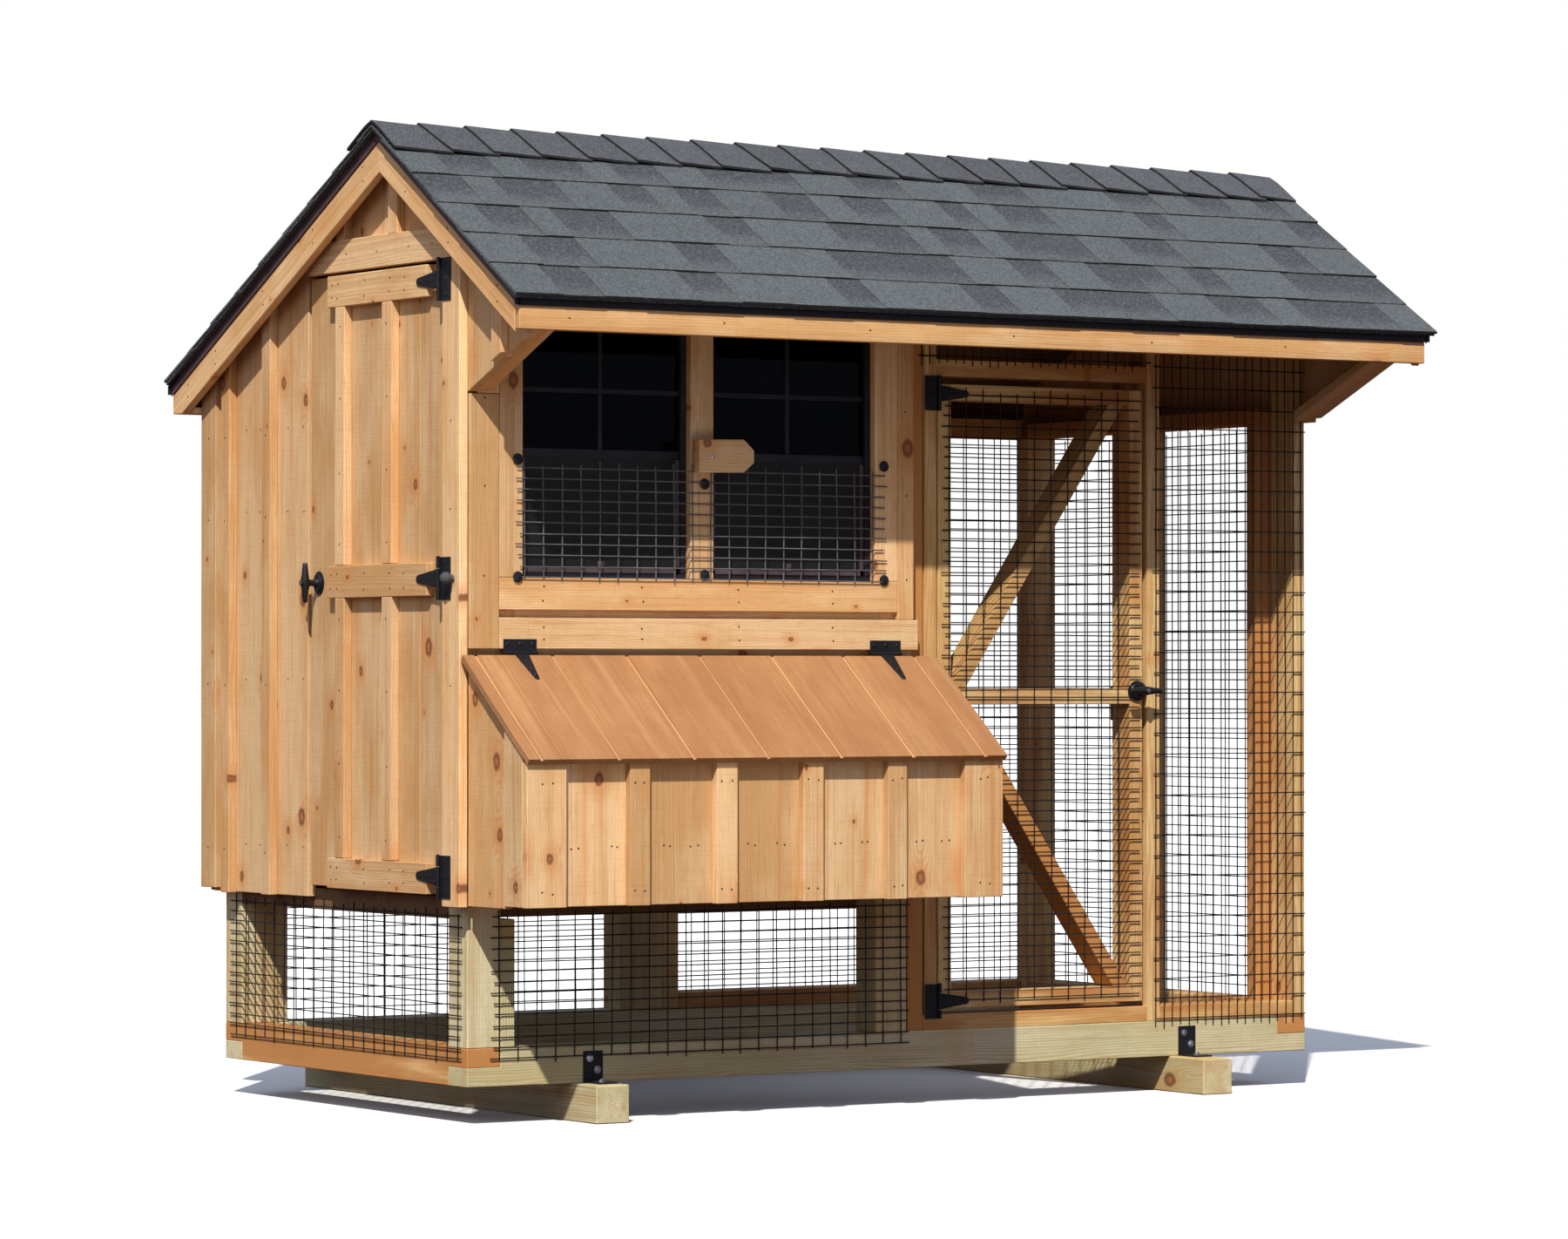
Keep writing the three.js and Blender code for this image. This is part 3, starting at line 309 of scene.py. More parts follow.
PINE = wood("pine_siding", (0.76, 0.515, 0.27), (0.63, 0.355, 0.14), (0.60, 0.25, 0.065), knots=0.62,
            rings=0.26)
TREATED = wood("treated_pine", (0.79, 0.71, 0.46), (0.61, 0.55, 0.29), (0.60, 0.34, 0.12),
               (0.55, 0.38, 0.17), 0.16, 0.78, 0.42)
STAINED = wood("weathered_pine", (0.84, 0.60, 0.27), (0.64, 0.38, 0.13), (0.52, 0.18, 0.045),
               (0.44, 0.165, 0.035), 0.18, 0.78, 0.36)
# The inner wood's dark colours are painted shade, for the deck underside, floor and roost bar inside.
INNER_SHADED = wood("inner_wood", (0.19, 0.105, 0.045), (0.15, 0.075, 0.03), (0.13, 0.05, 0.018), None, 0.12, 0.85,
             on_board=False)
CLEAT = wood("inner_boards", (0.36, 0.23, 0.11), (0.30, 0.17, 0.07), (0.28, 0.12, 0.04), None, 0.15, 0.85)
PANEL = wood("grooved_panel", (0.45, 0.225, 0.088), (0.36, 0.162, 0.058), (0.50, 0.28, 0.13), None, 0.0, 0.8,
             0.3)
GROOVE = wood("panel_groove", (0.62, 0.36, 0.17), (0.52, 0.27, 0.11), (0.60, 0.30, 0.12), None, 0.0, 0.8)
SHINGLE = asphalt("asphalt_shingle", (0.078, 0.088, 0.092), (0.034, 0.037, 0.041))
CAP = asphalt("asphalt_cap", (0.072, 0.076, 0.084), (0.042, 0.043, 0.047))
EDGE = asphalt("asphalt_cut_edge", (0.010, 0.010, 0.011), (0.004, 0.004, 0.004))
STEEL = coated_metal("black_steel", (0.008, 0.008, 0.010), 0.42)
WIRE = coated_metal("black_wire", (0.006, 0.006, 0.006), 0.5, 0.15)
GUARD = coated_metal("guard_wire", (0.085, 0.085, 0.09), 0.45, 0.5)
NAIL = coated_metal("nail_steel", (0.07, 0.055, 0.045), 0.5, 0.6, 0.5)
SCREW = coated_metal("bright_screw", (0.42, 0.42, 0.44), 0.35, 0.4, 1.0)
DRIP = coated_metal("drip_edge", (0.070, 0.040, 0.044), 0.4)
# The drip metal along the eaves is painted near-black shade; up the rakes the same drip is mauve.
EAVE_DRIP_SHADED = coated_metal("eave_drip_painted_shade", (0.007, 0.006, 0.009), 0.4)
BRONZE = coated_metal("bronze_frame", (0.012, 0.011, 0.016), 0.4)
SASH = coated_metal("sash_bronze", (0.060, 0.044, 0.048), 0.45)
GLASS = shade_tinted_glass("window_glass")
SCREEN = insect_screen("insect_screen")
RUBBER = coated_metal("grey_rubber", (0.055, 0.055, 0.06), 0.75)


# ---------------- geometry

def frame_of(x_axis, y_axis, z_axis, origin):
    place = Matrix.Identity(4)
    for column, vector in enumerate((x_axis, y_axis, z_axis, origin)):
        for row in range(3):
            place[row][column] = vector[row]
    return place


class Piece:
    """Gathers the solids of one visible piece, then makes its mesh and hangs it on a body."""

    def __init__(self, name):
        self.name = name
        self.points = []
        self.faces = []
        self.slots = []
        self.grain = []
        self.tone = []

    def add(self, points, faces, grain=None, tone=0.5, slot=0):
        first = len(self.points)
        self.points.extend(points)
        self.faces.extend([first + index for index in face] for face in faces)
        self.slots.extend(slot if isinstance(slot, list) else [slot] * len(faces))
        self.grain.extend(grain or points)
        self.tone.extend([tone] * len(points))

    def build(self, slot, materials, *replaced, body="coop"):
        mesh = bpy.data.meshes.new(self.name)
        mesh.from_pydata(self.points, [], self.faces)
        for material in materials:
            mesh.materials.append(material)
        mesh.polygons.foreach_set("material_index", self.slots)
        mesh.polygons.foreach_set("use_smooth", [True] * len(self.faces))
        grain = mesh.attributes.new("grain", "FLOAT_VECTOR", "POINT")
        grain.data.foreach_set("vector", [value for vector in self.grain for value in vector])
        mesh.attributes.new("tone", "FLOAT", "POINT").data.foreach_set("value", self.tone)
        mesh.set_sharp_from_angle(angle=math.radians(32))
        made = placed(self.name, mesh)
        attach(made, body)
        if replaced:
            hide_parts(*replaced)


def slab(piece, place, outline, depth, grain, edge=0.06, slot=0, tone=None):
    """A solid with softened edges: the outline in the x and y of `place`, raised along its z.
    `grain` is the direction of the wood's grain in the drawing."""
    bm = bmesh.new()
    rings = []
    for height in (0.0, depth):
        rings.append([bm.verts.new(at(*(place @ Vector((x, y, height))))) for x, y in outline])
    bm.faces.new(rings[0])
    bm.faces.new(rings[1])
    count = len(outline)
    for i in range(count):
        j = (i + 1) % count
        bm.faces.new((rings[0][i], rings[0][j], rings[1][j], rings[1][i]))
    bmesh.ops.recalc_face_normals(bm, faces=bm.faces)
    if edge:
        bmesh.ops.bevel(bm, geom=bm.edges[:], offset=edge * INCH, segments=1, affect="EDGES",
                        clamp_overlap=True)
    along = Vector(grain).normalized()
    normal = place.to_3x3() @ Z
    if abs(along.dot(normal.normalized())) > 0.9:
        normal = place.to_3x3() @ X
    normal = (normal - along * normal.dot(along)).normalized()
    other = along.cross(normal)
    points = [vert.co.copy() for vert in bm.verts]
    spans = []
    for direction in (normal, other):
        reach = [point.dot(direction) for point in points]
        spans.append((max(reach) - min(reach), min(reach), direction))
    spans.sort(key=lambda span: -span[0])
    shift = (dice.uniform(0, 40), dice.uniform(-0.11, 0.02), dice.uniform(0.004, 0.05))
    coords = [Vector((point.dot(along) + shift[0],
                      point.dot(spans[0][2]) - spans[0][1] + shift[1],
                      point.dot(spans[1][2]) - spans[1][1] + shift[2])) for point in points]
    index = {vert: i for i, vert in enumerate(bm.verts)}
    faces = [[index[vert] for vert in face.verts] for face in bm.faces]
    bm.free()
    chance = dice.random()
    piece.add(points, faces, coords, chance if tone is None else tone, slot)


def prism(piece, axis, span, outline, grain, **looks):
    """A slab along a drawing axis, with its outline in the other two drawing coordinates."""
    units = [X, Y, Z]
    through = units.pop(axis)
    slab(piece, frame_of(*units, through, through * span[0]), outline, span[1] - span[0], grain, **looks)


def plank(piece, x, y, z, grain, **looks):
    prism(piece, 0, x, [(y[0], z[0]), (y[1], z[0]), (y[1], z[1]), (y[0], z[1])], grain, **looks)


def ring_about(centre, axis, radius, sides, turn=0.0):
    side = axis.orthogonal().normalized()
    third = axis.cross(side)
    angles = [math.tau * (k + turn) / sides for k in range(sides)]
    return [centre + (side * math.cos(angle) + third * math.sin(angle)) * radius for angle in angles]


def tube(piece, rings, slot=0):
    """A closed skin through rings of drawing points."""
    sides = len(rings[0])
    points = [at(*point) for ring in rings for point in ring]
    faces = [list(range(sides))[::-1], list(range(len(points) - sides, len(points)))]
    for first in range(0, len(points) - sides, sides):
        for k in range(sides):
            a = first + k
            b = first + (k + 1) % sides
            faces.append([a, b, b + sides, a + sides])
    piece.add(points, faces, slot=slot)


def lathe(piece, centre, direction, profile, sides=16, slot=0):
    """A turned solid; the profile lists radius and height along the direction."""
    axis = Vector(direction).normalized()
    tube(piece, [ring_about(Vector(centre) + axis * height, axis, radius, sides, 0.5)
                 for radius, height in profile], slot)


def screw(piece, centre, direction, radius=0.16, height=0.08, slot=0):
    """A domed head."""
    lathe(piece, centre, direction, [(radius, -0.02), (radius, height * 0.4), (radius * 0.75, height * 0.85),
                                     (radius * 0.35, height)], 12, slot)


def nails(piece, centres, direction):
    radius = 0.1
    for centre in centres:
        jitter = Vector([dice.uniform(-0.12, 0.12) if not part else 0.0 for part in direction])
        lathe(piece, Vector(centre) + jitter, direction,
              [(radius, -0.03), (radius, 0.012), (radius * 0.6, 0.022)], 8, 1)


WIRE_RADIUS = 0.062


def strand(piece, points):
    """A nearly straight wire through drawing points."""
    points = [Vector(point) for point in points]
    axis = (points[-1] - points[0]).normalized()
    tube(piece, [ring_about(point, axis, WIRE_RADIUS, 5) for point in points])


def welded_wire(piece, axis, level, u, z, pitch_u, pitch_z, belly=None):
    """Welded wire in an upright plane. `axis` is the plane's normal, u the level direction in it, and
    `belly` gives how far the net stands out of the plane. Each wire is cut a little short or long."""
    ragged = 0.5

    def spot(across, height, lift):
        out = level + lift + (belly(across, height) if belly else 0.0)
        return (out, across, height) if axis == 0 else (across, out, height)

    def wires(count, first, pitch, ends, upright, lift):
        for k in range(count):
            low = ends[0] + dice.uniform(0, ragged)
            high = ends[1] - dice.uniform(0, ragged)
            tilt = dice.uniform(-0.07, 0.07)
            steps = max(1, int((high - low) / 4)) if belly else 1
            points = []
            for n in range(steps + 1):
                run = low + (high - low) * n / steps
                side = first + pitch * (k + 0.5) + tilt * (2 * n / steps - 1)
                points.append(spot(side, run, lift) if upright else spot(run, side, lift))
            strand(piece, points)

    wires(int((u[1] - u[0]) / pitch_u), u[0], pitch_u, z, True, 0.0)
    wires(int((z[1] - z[0]) / pitch_z), z[0], pitch_z, u, False, -2 * WIRE_RADIUS)


def under_roof(y, bottom, gap=0.1):
    """Outline of a board on an end wall, from its lower edge up to the roof deck."""
    outline = [(y[0], bottom), (y[1], bottom), (y[1], roof_z(y[1]) - gap)]
    if y[0] < RIDGE_Y < y[1]:
        outline.append((RIDGE_Y, RIDGE_Z - gap))
    outline.append((y[0], roof_z(y[0]) - gap))
    return outline


# ---------------- skids, sills and posts

def skid_timber(name, x, y):
    piece = Piece(name + "_timber")
    plank(piece, x, y, (0, POST), Y, edge=0.1)
    piece.build("treated_pine", [TREATED], name)


skid_timber("skid_left", (11.05, 14.55), (-4.4, 52.4))
skid_timber("skid_right", (79.2, 82.7), (-5.5, 52.4))

LAP = SILL_BOTTOM + POST / 2
MIDDLE_STUD_EDGE = 49.9
HINGE_JAMB = (50.1, 51.5)
LATCH_JAMB = (76.5, 78.0)
DOOR_HEADER = (69.6, 71.2)


def sill_frame():
    piece = Piece("sill_timbers")
    inner = (POST, LENGTH - POST)
    long_sill = [(0, SILL_BOTTOM), (LENGTH, SILL_BOTTOM), (LENGTH, LAP), (inner[1], LAP),
                 (inner[1], SILL_TOP), (inner[0], SILL_TOP), (inner[0], LAP), (0, LAP)]
    for y in ((0, POST), (DEPTH - POST, DEPTH)):
        prism(piece, 1, y, long_sill, X)
        for x in ((MIDDLE_STUD_EDGE, LATCH_JAMB[0]), (LATCH_JAMB[1], LENGTH - STUD)):
            plank(piece, x, y, (SILL_TOP, PLATE_TOP), X, slot=1, tone=0.66)
    end_sill = [(0, LAP), (POST, LAP), (POST, SILL_BOTTOM), (DEPTH - POST, SILL_BOTTOM),
                (DEPTH - POST, LAP), (DEPTH, LAP), (DEPTH, SILL_TOP), (0, SILL_TOP)]
    for x in ((0, POST), (inner[1], LENGTH)):
        prism(piece, 0, x, end_sill, Y, tone=0.85, slot=1)
    plank(piece, (inner[1], LENGTH), (POST + STUD, DEPTH - POST - STUD), (SILL_TOP, PLATE_TOP), Y, slot=1)
    piece.build("treated_pine", [TREATED, STAINED], "base_frame")


sill_frame()


def post_timber(name, x, y, top, studs=(), in_run=0, tone=None):
    piece = Piece(name + "_timber")
    plank(piece, x, y, (SILL_TOP, top), Z, edge=0.09, slot=in_run, tone=tone)
    for stud_x, stud_y, stud_top in studs:
        in_henhouse = stud_top == FLOOR_UNDER
        plank(piece, stud_x, stud_y, (SILL_TOP, stud_top), Z, edge=0.09, slot=0 if in_henhouse else 1)
    piece.build("treated_pine", [TREATED, STAINED], name)


FRONT = (0, POST)
BACK = (DEPTH - POST, DEPTH)
FLOOR_UNDER = 18.7
post_timber("post_front_left", (0, 3.5), FRONT, FRONT_POST_TOP, [((3.5, 5.0), FRONT, FLOOR_UNDER)], 0, 0.3)
post_timber("post_back_left", (0, 3.5), BACK, BACK_PLATE_BOTTOM, [((3.5, 5.0), BACK, FLOOR_UNDER)])
post_timber("post_front_middle", (44.5, 48), FRONT, FRONT_POST_TOP,
            [((48.15, MIDDLE_STUD_EDGE), FRONT, FRONT_POST_TOP)])
post_timber("post_back_middle", (44.5, 48), BACK, BACK_PLATE_BOTTOM,
            [((48, MIDDLE_STUD_EDGE), BACK, BACK_PLATE_BOTTOM), ((43, 44.5), BACK, FLOOR_UNDER)])
RIGHT = (LENGTH - POST, LENGTH)
post_timber("post_front_right", (LENGTH - STUD, LENGTH), FRONT, FRONT_POST_TOP,
            [(RIGHT, (3.5, 5.0), BACK_PLATE_BOTTOM)], 1, 0.3)
post_timber("post_back_right", (LENGTH - STUD, LENGTH), BACK, BACK_PLATE_BOTTOM,
            [(RIGHT, (43, 44.5), BACK_PLATE_BOTTOM)], 1, 0.35)


def run_framing():
    front = Piece("door_frame_and_plate")
    plank(front, (0, LENGTH), FRONT, (FRONT_POST_TOP, FRONT_PLATE_TOP), X)
    plank(front, HINGE_JAMB, FRONT, (PLATE_TOP, FRONT_POST_TOP), Z)
    plank(front, LATCH_JAMB, FRONT, (SILL_TOP, FRONT_POST_TOP), Z)
    plank(front, (HINGE_JAMB[1], LATCH_JAMB[0]), FRONT, DOOR_HEADER, X)
    front.build("treated_pine", [STAINED], "front_plate_and_door_frame")
    end = Piece("run_end_framing")
    plank(end, RIGHT, (23.2, 24.7), (PLATE_TOP, BACK_PLATE_BOTTOM), Z)
    plank(end, RIGHT, (POST, DEPTH - POST), (BACK_PLATE_BOTTOM, 67.6), Y)
    end.build("treated_pine", [STAINED], "run_end_frame")
    plate = Piece("back_plate_timber")
    plank(plate, (0, LENGTH), BACK, (BACK_PLATE_BOTTOM, 68.1), X)
    plate.build("treated_pine", [STAINED], "back_top_plate")


run_framing()


def skid_bracket(name, left, face_y, outward):
    """A black steel angle with four hex bolts."""
    piece = Piece(name + "_angle")
    x = (left, left + 2.05)
    outer = face_y + outward * 0.16
    reach = face_y + outward * 2.9
    plank(piece, x, sorted((face_y, outer)), (SILL_BOTTOM, 6.4), Z, edge=0.03)
    plank(piece, x, sorted((face_y, reach)), (SILL_BOTTOM, SILL_BOTTOM + 0.16), Y, edge=0.03)
    for bolt_x, height, out in ((left + 0.62, 2.25, 2.25), (left + 1.43, 1.15, 1.15)):
        for centre, direction in (((bolt_x, outer, SILL_BOTTOM + height), (0, outward, 0)),
                                  ((bolt_x, face_y + outward * out, SILL_BOTTOM + 0.16), (0, 0, 1))):
            lathe(piece, centre, direction, [(0.36, 0.0), (0.36, 0.05)], 16, 1)
            lathe(piece, centre, direction, [(0.25, 0.0), (0.25, 0.17), (0.2, 0.22)], 6, 1)
    piece.build("black_steel", [STEEL, SCREW], name)


skid_bracket("skid_bracket_front_left", 12.2, 0, -1)
skid_bracket("skid_bracket_front_right", 80.2, 0, -1)
skid_bracket("skid_bracket_back_left", 11.9, DEPTH, 1)
skid_bracket("skid_bracket_back_right", 80.2, DEPTH, 1)

# ---------------- roof

EXPOSURE = 5.6
# Heights above the deck's underside, of its top and of the shingles'.
DECK = 0.9
ROOF_TOP = 1.6


def slope_place(y, upright, slope, uphill):
    """A frame on the roof: its x along the ridge, its y up the slope, its z out of the roof."""
    run = 1 / math.hypot(1, slope)
    up = (0, uphill * run, slope * run)
    out = (0, -uphill * slope * run, run)
    return frame_of(X, up, out, (0, y, roof_z(y) + upright))


def shingle_slope(piece, eave, slope, uphill):
    run = 1 / math.hypot(1, slope)
    length = abs(RIDGE_Y - eave) / run
    courses = int(length / EXPOSURE) + 1
    for course in range(courses):
        start = course * EXPOSURE
        y = eave + uphill * start * run
        reach = min(EXPOSURE + 1.2, length - start)
        x = ROOF_X[0] + dice.uniform(-0.06, 0.03)
        dark = dice.random() > 0.5
        while x < ROOF_X[1] - 0.5:
            width = dice.uniform(3.0, 6.6)
            right = x + width
            if right > ROOF_X[1] - 2.5:
                right = ROOF_X[1]
            lift = dice.uniform(0.0, 0.03) + (0.05 if not dark else 0.0)
            place = slope_place(y, ROOF_TOP - 0.30, slope, uphill) @ Matrix.Rotation(-0.024, 4, "X")
            tone = dice.uniform(0.62, 1.0) if dark else dice.uniform(0.0, 0.5)
            tab(piece, place, x + 0.01, right - 0.01, dice.uniform(-0.06, 0.03), reach, 0.18 + lift, tone)
            x = right
            dark = not dark if dice.random() < 0.85 else dark


def tab(piece, place, left, right, low, high, thick, tone):
    """One shingle tab. Its grain coordinate is the distance up from its lower edge, in metres."""
    corners = [(left, low, 0), (right, low, 0), (right, high, 0), (left, high, 0)]
    corners += [(x, y + (0.03 if y == low else 0), thick) for x, y, _ in corners]
    points = [at(*(place @ Vector(corner))) for corner in corners]
    faces = [(3, 2, 1, 0), (4, 5, 6, 7), (0, 1, 5, 4), (1, 2, 6, 5), (2, 3, 7, 6), (3, 0, 4, 7)]
    if (points[1] - points[0]).cross(points[3] - points[0]).dot(points[4] - points[0]) < 0:
        faces = [face[::-1] for face in faces]
    grain = [((corner[1] - low) * INCH, corner[0] * INCH, corner[2] * INCH) for corner in corners]
    piece.add(points, faces, grain, tone, [0, 0, 1, 0, 0, 0])


def shingles():
    piece = Piece("roof_shingles")
    shingle_slope(piece, EAVE_FRONT, FRONT_SLOPE, 1)
    shingle_slope(piece, EAVE_BACK, BACK_SLOPE, -1)
    low, high = DECK + 0.05, ROOF_TOP - 0.3
    outline = [(y, roof_z(y) + low) for y in (EAVE_FRONT + 0.2, RIDGE_Y, EAVE_BACK - 0.2)]
    outline += [(y, roof_z(y) + high) for y in (EAVE_BACK - 0.2, RIDGE_Y, EAVE_FRONT + 0.2)]
    prism(piece, 0, (ROOF_X[0] + 0.1, ROOF_X[1] - 0.1), outline, X, edge=0, tone=0.9)
    piece.build("shingle", [SHINGLE, EDGE], "shingles")


shingles()


def ridge_caps():
    """Bent shingles over the ridge, each lapping the next, with their raised cut ends flared."""
    piece = Piece("ridge_cap_shingles")
    exposure = 4.95
    steps = 7
    count = 2 * steps + 1
    last = count - 1
    x = ROOF_X[0]
    while x < ROOF_X[1] - 1:
        right = min(x + exposure + 1.3, ROOF_X[1])
        tone = dice.uniform(0.2, 1.0)
        spread = 5.3 + dice.uniform(-0.12, 0.12)
        skew = dice.uniform(0.6, 1.5) * (x > ROOF_X[0])
        points, grain = [], []
        for end, lift, flare in ((x, 0.26, skew), (right, -0.04, 0.0)):
            for thickness in (0.0, 0.22):
                for k in range(count):
                    share = k / steps - 1
                    y = RIDGE_Y + share * spread / math.hypot(1, FRONT_SLOPE if share < 0 else BACK_SLOPE)
                    crown = 0.21 * math.exp(-(share * spread / 0.9) ** 2)
                    z = roof_z(y) + ROOF_TOP + lift + thickness - crown - 0.07 * share ** 2
                    points.append(at(end + flare * abs(share) ** 1.6, y, z))
                    grain.append((0.02 + 0.02 * (end == right), k * 0.02, 0.0))
        faces = []
        for i in range(last):
            a, b, c, d = i, i + count, i + 2 * count, i + 3 * count
            faces += [(a, b, b + 1, a + 1), (a, a + 1, c + 1, c), (b, d, d + 1, b + 1), (c, c + 1, d + 1, d)]
        faces += [(0, 2 * count, 3 * count, count),
                  (last, last + count, last + 3 * count, last + 2 * count)]
        cut_edge = [1, 0, 0, 0] * last + [1, 1]
        piece.add(points, faces, grain, tone, cut_edge)
        x += exposure
    piece.build("shingle", [CAP, EDGE])


ridge_caps()


def drip_edges():
    """Folded metal along the eaves and up the rakes: mauve on the rakes, and painted near-black along the
    eaves as their shade.
    """
    piece = Piece("drip_edges")
    lip = 0.85
    for face, inward in ((FASCIA_FACE - 0.15, 1), (RAKE_BACK + 0.1, -1)):
        skin = face + inward * 0.1
        flange = face + inward * 2
        top = roof_z(face) + DECK + 0.02
        outline = [(face, top - lip), (face, top), (flange, roof_z(flange) + DECK + 0.02),
                   (flange, roof_z(flange) + DECK - 0.02), (skin, top - 0.1), (skin, top - lip)]
        prism(piece, 0, (-3.75, 99.75), outline, X, edge=0.0, slot=1)
    ends = (FASCIA_FACE - 0.15, RIDGE_Y, RAKE_BACK + 0.1)
    outline = [(y, roof_z(y) - 0.05) for y in ends] + [(y, roof_z(y) + DECK + 0.03) for y in ends[::-1]]
    for x in (-RAKE_REACH - 0.14, LENGTH + RAKE_REACH + 0.01):
        prism(piece, 0, (x, x + 0.13), outline, Y, edge=0.0)
    piece.build("black_steel", [DRIP, EAVE_DRIP_SHADED])


drip_edges()


def rake_boards(name, x):
    piece = Piece(name + "_pair")
    end = FASCIA_FACE + BOARD
    flat_from = RIDGE_Y + (RIDGE_Z - RAKE_DEPTH - SOFFIT) / BACK_SLOPE
    front = [(end, roof_z(end) - RAKE_DEPTH), (end, roof_z(end) - 0.05), (RIDGE_Y, RIDGE_Z - 0.05),
             (RIDGE_Y, RIDGE_Z - RAKE_DEPTH)]
    back = [(RIDGE_Y, RIDGE_Z - RAKE_DEPTH), (RIDGE_Y, RIDGE_Z - 0.05), (RAKE_BACK, roof_z(RAKE_BACK) - 0.05),
            (RAKE_BACK, SOFFIT), (flat_from, SOFFIT)]
    prism(piece, 0, x, front, (0, 1, FRONT_SLOPE), tone=0.9)
    prism(piece, 0, x, back, (0, 1, -BACK_SLOPE), tone=0.9)
    outer = (x[0], -1) if x[0] < 0 else (x[1], 1)
    spots = [(outer[0], y, roof_z(y) - drop) for y in (-11, -2, 6, 14, 24, 34, 44, 50) for drop in (0.7, 2.0)]
    nails(piece, spots, (outer[1], 0, 0))
    piece.build("pine", [PINE, NAIL], name)


rake_boards("rake_boards_left", (-RAKE_REACH, -RAKE_REACH + BOARD))
rake_boards("rake_boards_right", (LENGTH + RAKE_REACH - BOARD, LENGTH + RAKE_REACH))


def fascias():
    front = Piece("fascia_front_board")
    back_face = FASCIA_FACE + BOARD
    prism(front, 0, (-RAKE_REACH, LENGTH + RAKE_REACH),
          [(FASCIA_FACE, FASCIA_BOTTOM), (back_face, FASCIA_BOTTOM), (back_face, roof_z(back_face) - 0.05),
           (FASCIA_FACE, roof_z(FASCIA_FACE) - 0.05)], X, tone=0.4)
    nails(front, [(x, FASCIA_FACE, 72.6) for x in range(2, 98, 16)], -Y)
    front.build("pine", [PINE, NAIL], "fascia_front")
    back = Piece("fascia_back_boards")
    inner = (-RAKE_REACH + BOARD, LENGTH + RAKE_REACH - BOARD)
    plank(back, inner, (RAKE_BACK - BOARD, RAKE_BACK), (SOFFIT, roof_z(RAKE_BACK) - 0.05), X)
    plank(back, inner, (50.04, RAKE_BACK - BOARD), (SOFFIT, SOFFIT + 0.6), X)
    nails(back, [(x, RAKE_BACK, SOFFIT + 0.9) for x in range(2, 98, 16)], Y)
    back.build("pine", [PINE, NAIL], "fascia_back")


fascias()

# ---------------- siding

OVERHANG_END = FASCIA_FACE + BOARD + 0.02
BRACE_FOOT = (-1.7, 66.6)
BRACE_SLOPE = (71.7 - BRACE_FOOT[1]) / 11.9


def brace_under(y):
    """Underside of the brace under the front overhang."""
    return BRACE_FOOT[1] + (BRACE_FOOT[0] - y) * BRACE_SLOPE


def overhang_boards(piece, x, seams):
    """Siding that closes the front overhang above its brace."""
    for y0, y1 in zip(seams, seams[1:]):
        foot = [(y0, brace_under(y0)), (y1, brace_under(min(y1, BRACE_FOOT[0])))]
        if y1 > BRACE_FOOT[0]:
            foot.insert(1, BRACE_FOOT)
        prism(piece, 0, x, foot + [(y1, roof_z(y1) - 0.1), (y0, roof_z(y0) - 0.1)], Z)


def left_wall():
    piece = Piece("left_wall_siding")
    layer = (FRONT_FACE, 0.0)
    batten = (TRIM_FACE, FRONT_FACE)
    door = (1.9, 29.16)
    door_top = 78.78

    def board(y0, y1, bottom):
        prism(piece, 0, layer, under_roof((y0 + 0.02, y1 - 0.02), bottom), Z)

    for y0, y1 in ((FRONT_FACE, door[0]), (door[1], 36.3), (36.3, 44.9), (44.9, DEPTH + BOARD)):
        board(y0, y1, SIDING_BOTTOM + dice.uniform(0, 0.15))
    for y0, y1 in ((door[0], 11.2), (11.2, 21.3), (21.3, door[1])):
        board(y0, y1, door_top)
    overhang_boards(piece, layer, (OVERHANG_END, -8.2, FRONT_FACE))
    for y0, y1, bottom in ((-1.6, 1.63, 19.9), (46.9, 50.0, 20.2), (44.0, 45.76, 19.8), (35.44, 37.2, 19.85),
                           (20.45, 22.2, 81.7), (10.2, 11.96, 81.7)):
        prism(piece, 0, batten, under_roof((y0, y1), bottom, 0.12), Z)
    y0, y1 = -9.0, -7.3
    prism(piece, 0, batten, [(y0, brace_under(y0)), (y1, brace_under(y1)), (y1, roof_z(y1) - 0.12),
                             (y0, roof_z(y0) - 0.12)], Z)
    header = [(1.7, 78.75), (28.2, 78.75), (28.2, 81.2), (27.2, 81.75), (3.0, 81.75), (1.7, 81.4)]
    prism(piece, 0, batten, header, Y)
    spots = []
    for z in (24, 40, 56, 64):
        spots += [(TRIM_FACE, y, z) for y in (0.0, 36.3, 44.9, 48.4)]
        spots += [(FRONT_FACE, y, z + 0.6) for y in (30.2, 33.4, 39, 42)]
    spots += [(TRIM_FACE, y, 80.3) for y in (3.4, 8, 14, 20, 26.4)]
    nails(piece, spots, -X)
    piece.build("pine", [PINE, NAIL], "left_wall")


left_wall()


